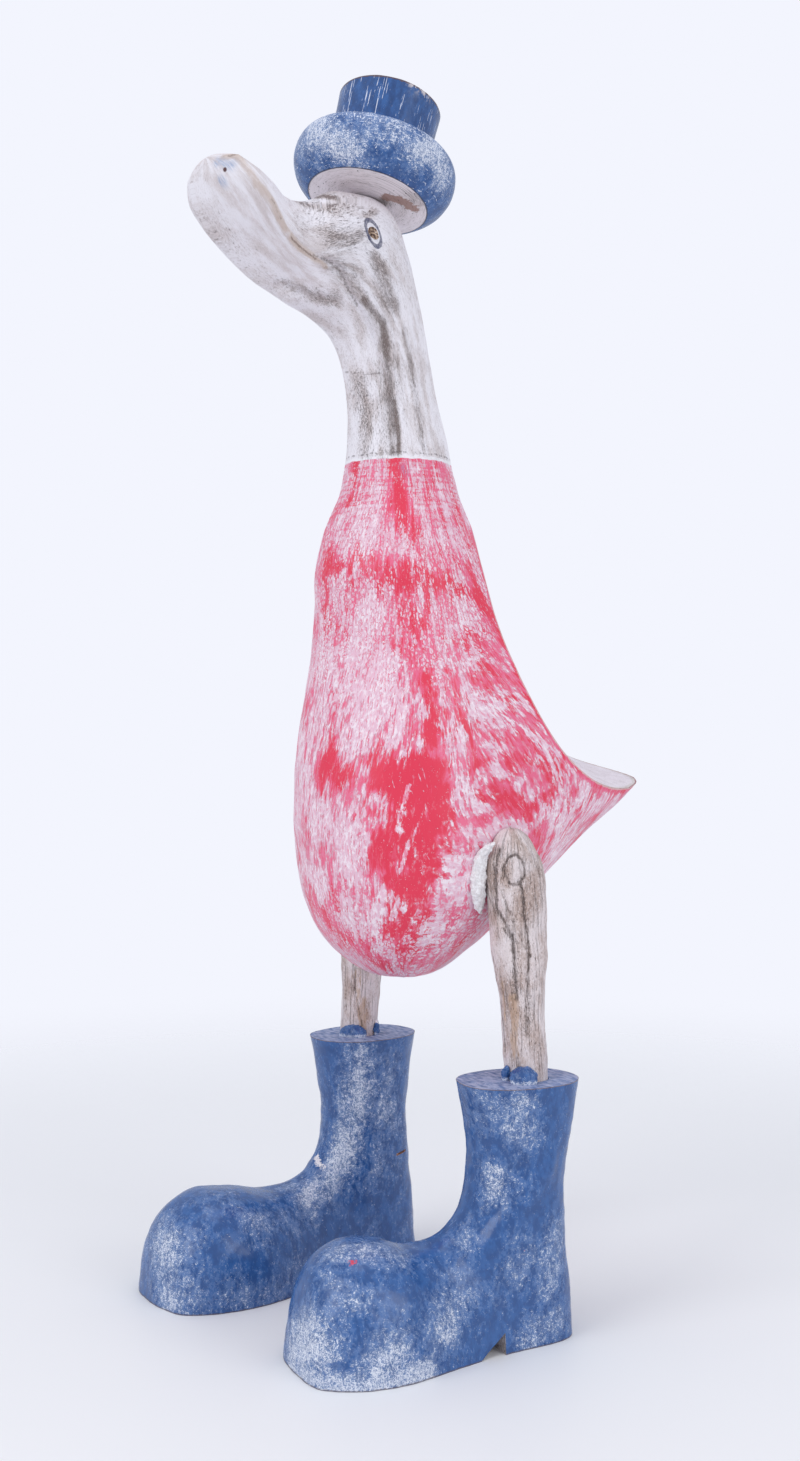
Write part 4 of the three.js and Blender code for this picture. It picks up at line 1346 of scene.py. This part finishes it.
boot_paint, tree = new_material("boot paint")
here = place(tree)
coat = use_group(tree, blue_coat, {"Place": here, "Haze": attribute(tree, "haze")})
color = coat["Color"]
ragged = speckle(here, (1.1, 1.1, 1.1), 3, 0.7)
level = axis(here, "Z")
top_face = rise(level, BOOT_HEIGHT - 0.3, BOOT_HEIGHT - 0.12) * attribute(tree, "boot")
rubbed_top = rise(speckle(here, (4, 1.5, 4), 3, 0.6), 0.25, 0.75) * 0.9
color = blend(top_face * rubbed_top, color, paint(184, 190, 216))
worn_rim = attribute(tree, "rim") + ragged * 0.6
color = blend(rise(worn_rim, 0.98, 1.1) * 0.8, color, paint(112, 88, 78))
sole_line = rise(level + ragged * 1.2, 1.3, 0.9)
color = blend(sole_line * 0.75, color, paint(92, 78, 84))
chip = rise(attribute(tree, "chip") + (ragged - 0.5) * 1.8, 0.5, 0.6)
color = blend(chip, color, paint(232, 228, 232))
red_chip = rise(attribute(tree, "red") + (ragged - 0.5) * 2.4, 0.62, 0.72)
color = blend(red_chip, color, paint(206, 52, 86))
roughness = mix(top_face, coat["Roughness"], 0.6)
close_material(tree, coat["Height"], 0.15, Base_Color=color, Roughness=roughness)


def place_boot(points, which):
    spin = -which["turn"] * which["side"]
    return turned(points, degrees_z=spin, move=(which["side"] * BOOT_SPREAD, 0, 0)) + CENTRE


def shape_foot(points, which):
    x, y, z = np.moveaxis(points, -1, 0)
    forward = smooth(-y, *FOOT_GROWS)
    instep = smooth(-y, *INSTEP_GROWS)
    down = 1 - smooth(z, SHAFT_FROM, BOOT_HEIGHT)
    z = z * (1 + (which["height"] - 1) * instep * down)
    x = x * (1 + (which["width"] - 1) * forward)
    y = y * (1 + (which["length"] - 1) * forward) - which["set"] * down * (1 - forward)
    return np.stack([x, y, z], -1)


def heel_tool(which):
    """A three-sided saw cut across the sole, upright at the heel."""
    points = np.array([(x, y, z) for x in (-40, 40) for y, z in HEEL_NOTCH], float)
    faces = [(0, 1, 2), (5, 4, 3), (0, 3, 4, 1), (1, 4, 5, 2), (2, 5, 3, 0)]
    return outward_faces(mesh_object("notch", place_boot(points, which), faces, bare_wood))


crack_wood, tree = new_material("cracked wood")
here = place(tree)
fibres = speckle(here, (0.6, 0.6, 0.6), 3, 0.7)
color = blend(rise(fibres, 0.4, 0.6), paint(146, 100, 82), paint(204, 164, 138))
close_material(tree, fibres, 0.3, Base_Color=color, Roughness=0.8)


def place_crack(points):
    return turned(points, 0, 6, -49, (-35.5, 17.4, 46))


for which in SIDES:
    name = which["name"]
    t = even_rings(BOOT_SECTIONS, BOOT_RINGS)[1:]
    turn = even_turn(BOOT_SECTIONS, t, BOOT_SIDES)
    grid = place_boot(shape_foot(skin(BOOT_SECTIONS, t, turn), which), which)
    relief = 0.55 * lumps(grid, 18, 21) + 0.12 * lumps(grid, 5, 22) - 0.35
    for width, height, path in BOOT_DENTS[name]:
        relief += height * near_path(grid, path, width)
    relief *= smooth(t, 0, 0.02)[:, None]
    grid = grid + outward(grid) * relief[..., None]
    grid[-1, :, 2] = BOOT_HEIGHT
    rim = grid[-1]
    inner = [rim.mean(0) + (rim - rim.mean(0)) * share for share in (0.97, 0.85, 0.6, 0.3)]
    grid = np.concatenate([grid, np.array(inner)])
    ends = place_boot(shape_foot(np.array(BOOT_ENDS), which), which)
    boot = closed_skin(name + "_boot_carved", grid, *ends, boot_paint)
    ground = box_tool("ground", (-CLEAR, -CLEAR, -CLEAR), (CLEAR, CLEAR, 0), np.array, bare_wood)
    socket = close_leg("socket", leg_grid(which, GAP)[0], which, boot_paint)
    tools = [ground, heel_tool(which), socket]
    if name == "right":
        tools.append(box_tool("crack", (-4.5, -3, -0.5), (4.5, 3.3, 0.5), place_crack, crack_wood))
    carve(boot, *tools)
    on_rim = np.zeros(grid.shape[:2])
    on_rim[len(t) - 1] = 1
    haze = spots(grid, BOOT_HAZE[name]) + BASE_HAZE[name]
    marks = {"haze": haze, "rim": on_rim, "boot": np.ones_like(on_rim)}
    dress(boot, grid, **marks, chip=spots(grid, WHITE_CHIPS), red=spots(grid, RED_SPECKS))
    finish_mesh(boot)
    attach(boot, "root")
    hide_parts(name + "_boot")

# Blue filler closes the gaps beside the legs in the tops of the boots: a lump pressed in with a
# thumb, and a sliver that stands up against the leg. Its foot and one chip are white.
FILLER = [
    ("left_filler", [(63.2, -0.5, 97.2), (66.5, 3, 98.4), (68.5, 7, 97.2)], (3.6, 4.6, 3.4)),
    ("left_filler_sliver", [(58.6, 0.6, 96), (58.8, 0.4, 99), (59.2, 0.8, 102.5)], (1.4, 1.8, 1.1)),
    ("right_filler", [(-52, -4.4, 97), (-46.5, -2.4, 98.6), (-42.4, 2.2, 97.2)], (2.4, 3.6, 2.6)),
    ("right_filler_sliver", [(-44, 8.2, 96), (-43.8, 8.4, 99.5), (-44.2, 8.6, 103.5)],
     (0.9, 1.2, 0.7)),
]
FILLER_CHIP = [(-43.7, 5.9, 105.6), (-43.9, 8, 103)]
for seed, (name, centres, radii) in enumerate(FILLER, 50):
    lump = bead(name, centres, radii, seed, 0.5, boot_paint)
    at = np.array([vertex.co / MM for vertex in lump.data.vertices])
    white_foot = 0.15 + 0.9 * smooth(-at[:, 2], -99.2, -97.4)
    mark(lump.data, haze=white_foot, chip=0.9 * near_path(at, FILLER_CHIP, 1.6))
    finish_mesh(lump, 60)
    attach(lump, "root")

# The floor is pale and fades out round the duck. Three soft lights and a pale world light it,
# and the camera stands level with it, in front and to its left.
FLOOR_RADIUS = 1500
floor_paint, tree = new_material("pale floor")
seen = rise(calc_place("LENGTH", "Value", a=place(tree)), 760, 220)
shader = {"Base Color": paint(240, 240, 241), "Roughness": 0.5}
shader = node(tree, "BsdfPrincipled", shader, output="BSDF")
mixed = node(tree, "MixShader", {0: seen, 1: node(tree, "BsdfTransparent"), 2: shader})
feed(tree.nodes.new("ShaderNodeOutputMaterial"), {"Surface": mixed})
edge = np.linspace(0, 2 * math.pi, 97)[:-1]
edge = [(FLOOR_RADIUS * math.cos(angle), FLOOR_RADIUS * math.sin(angle), 0) for angle in edge]
floor = mesh_object("floor", np.array(edge), [list(range(len(edge)))], floor_paint)
floor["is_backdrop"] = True

world = bpy.data.worlds.new("studio")
bpy.context.scene.world = world
world.use_nodes = True
tree = world.node_tree
tree.nodes.clear()
seen_light = node(tree, "Background", {"Color": paint(243, 245, 254), "Strength": 1.0})
given_light = node(tree, "Background", {"Color": paint(240, 244, 255), "Strength": 0.72})
to_camera = node(tree, "LightPath", output="Is Camera Ray")
mixed = node(tree, "MixShader", {0: to_camera, 1: given_light, 2: seen_light})
feed(tree.nodes.new("ShaderNodeOutputWorld"), {"Surface": mixed})


def soft_light(name, where, aim, size, power):
    data = bpy.data.lights.new(name, "AREA")
    data.size = size
    data.energy = power
    lamp = bpy.data.objects.new(name, data)
    bpy.context.scene.collection.objects.link(lamp)
    lamp.location = where
    lamp.rotation_euler = (Vector(aim) - Vector(where)).to_track_quat("-Z", "Y").to_euler()


soft_light("left box", (0.2, -1.6, 1.0), (0, 0, 0.25), 0.9, 8.5)
soft_light("right box", (1.6, 0.4, 0.7), (0, 0, 0.25), 0.9, 6)
soft_light("top box", (0.1, -0.1, 1.9), (0, 0, 0.2), 1.2, 7)

FRAME_HEIGHT = 1461  # pixels
FOCAL_LENGTH = 1600  # pixels
camera_data = bpy.data.cameras.new("camera")
camera = bpy.data.objects.new("camera", camera_data)
bpy.context.scene.collection.objects.link(camera)
camera_data.sensor_fit = "VERTICAL"
camera_data.sensor_height = 36
camera_data.lens = FOCAL_LENGTH / FRAME_HEIGHT * camera_data.sensor_height
camera.location = (0.5398924, -0.3672324, 0.229)
camera.rotation_euler = (math.radians(90), 0, math.radians(56.4))
bpy.context.scene.camera = camera
bpy.context.scene.view_settings.view_transform = "Standard"

low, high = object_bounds()
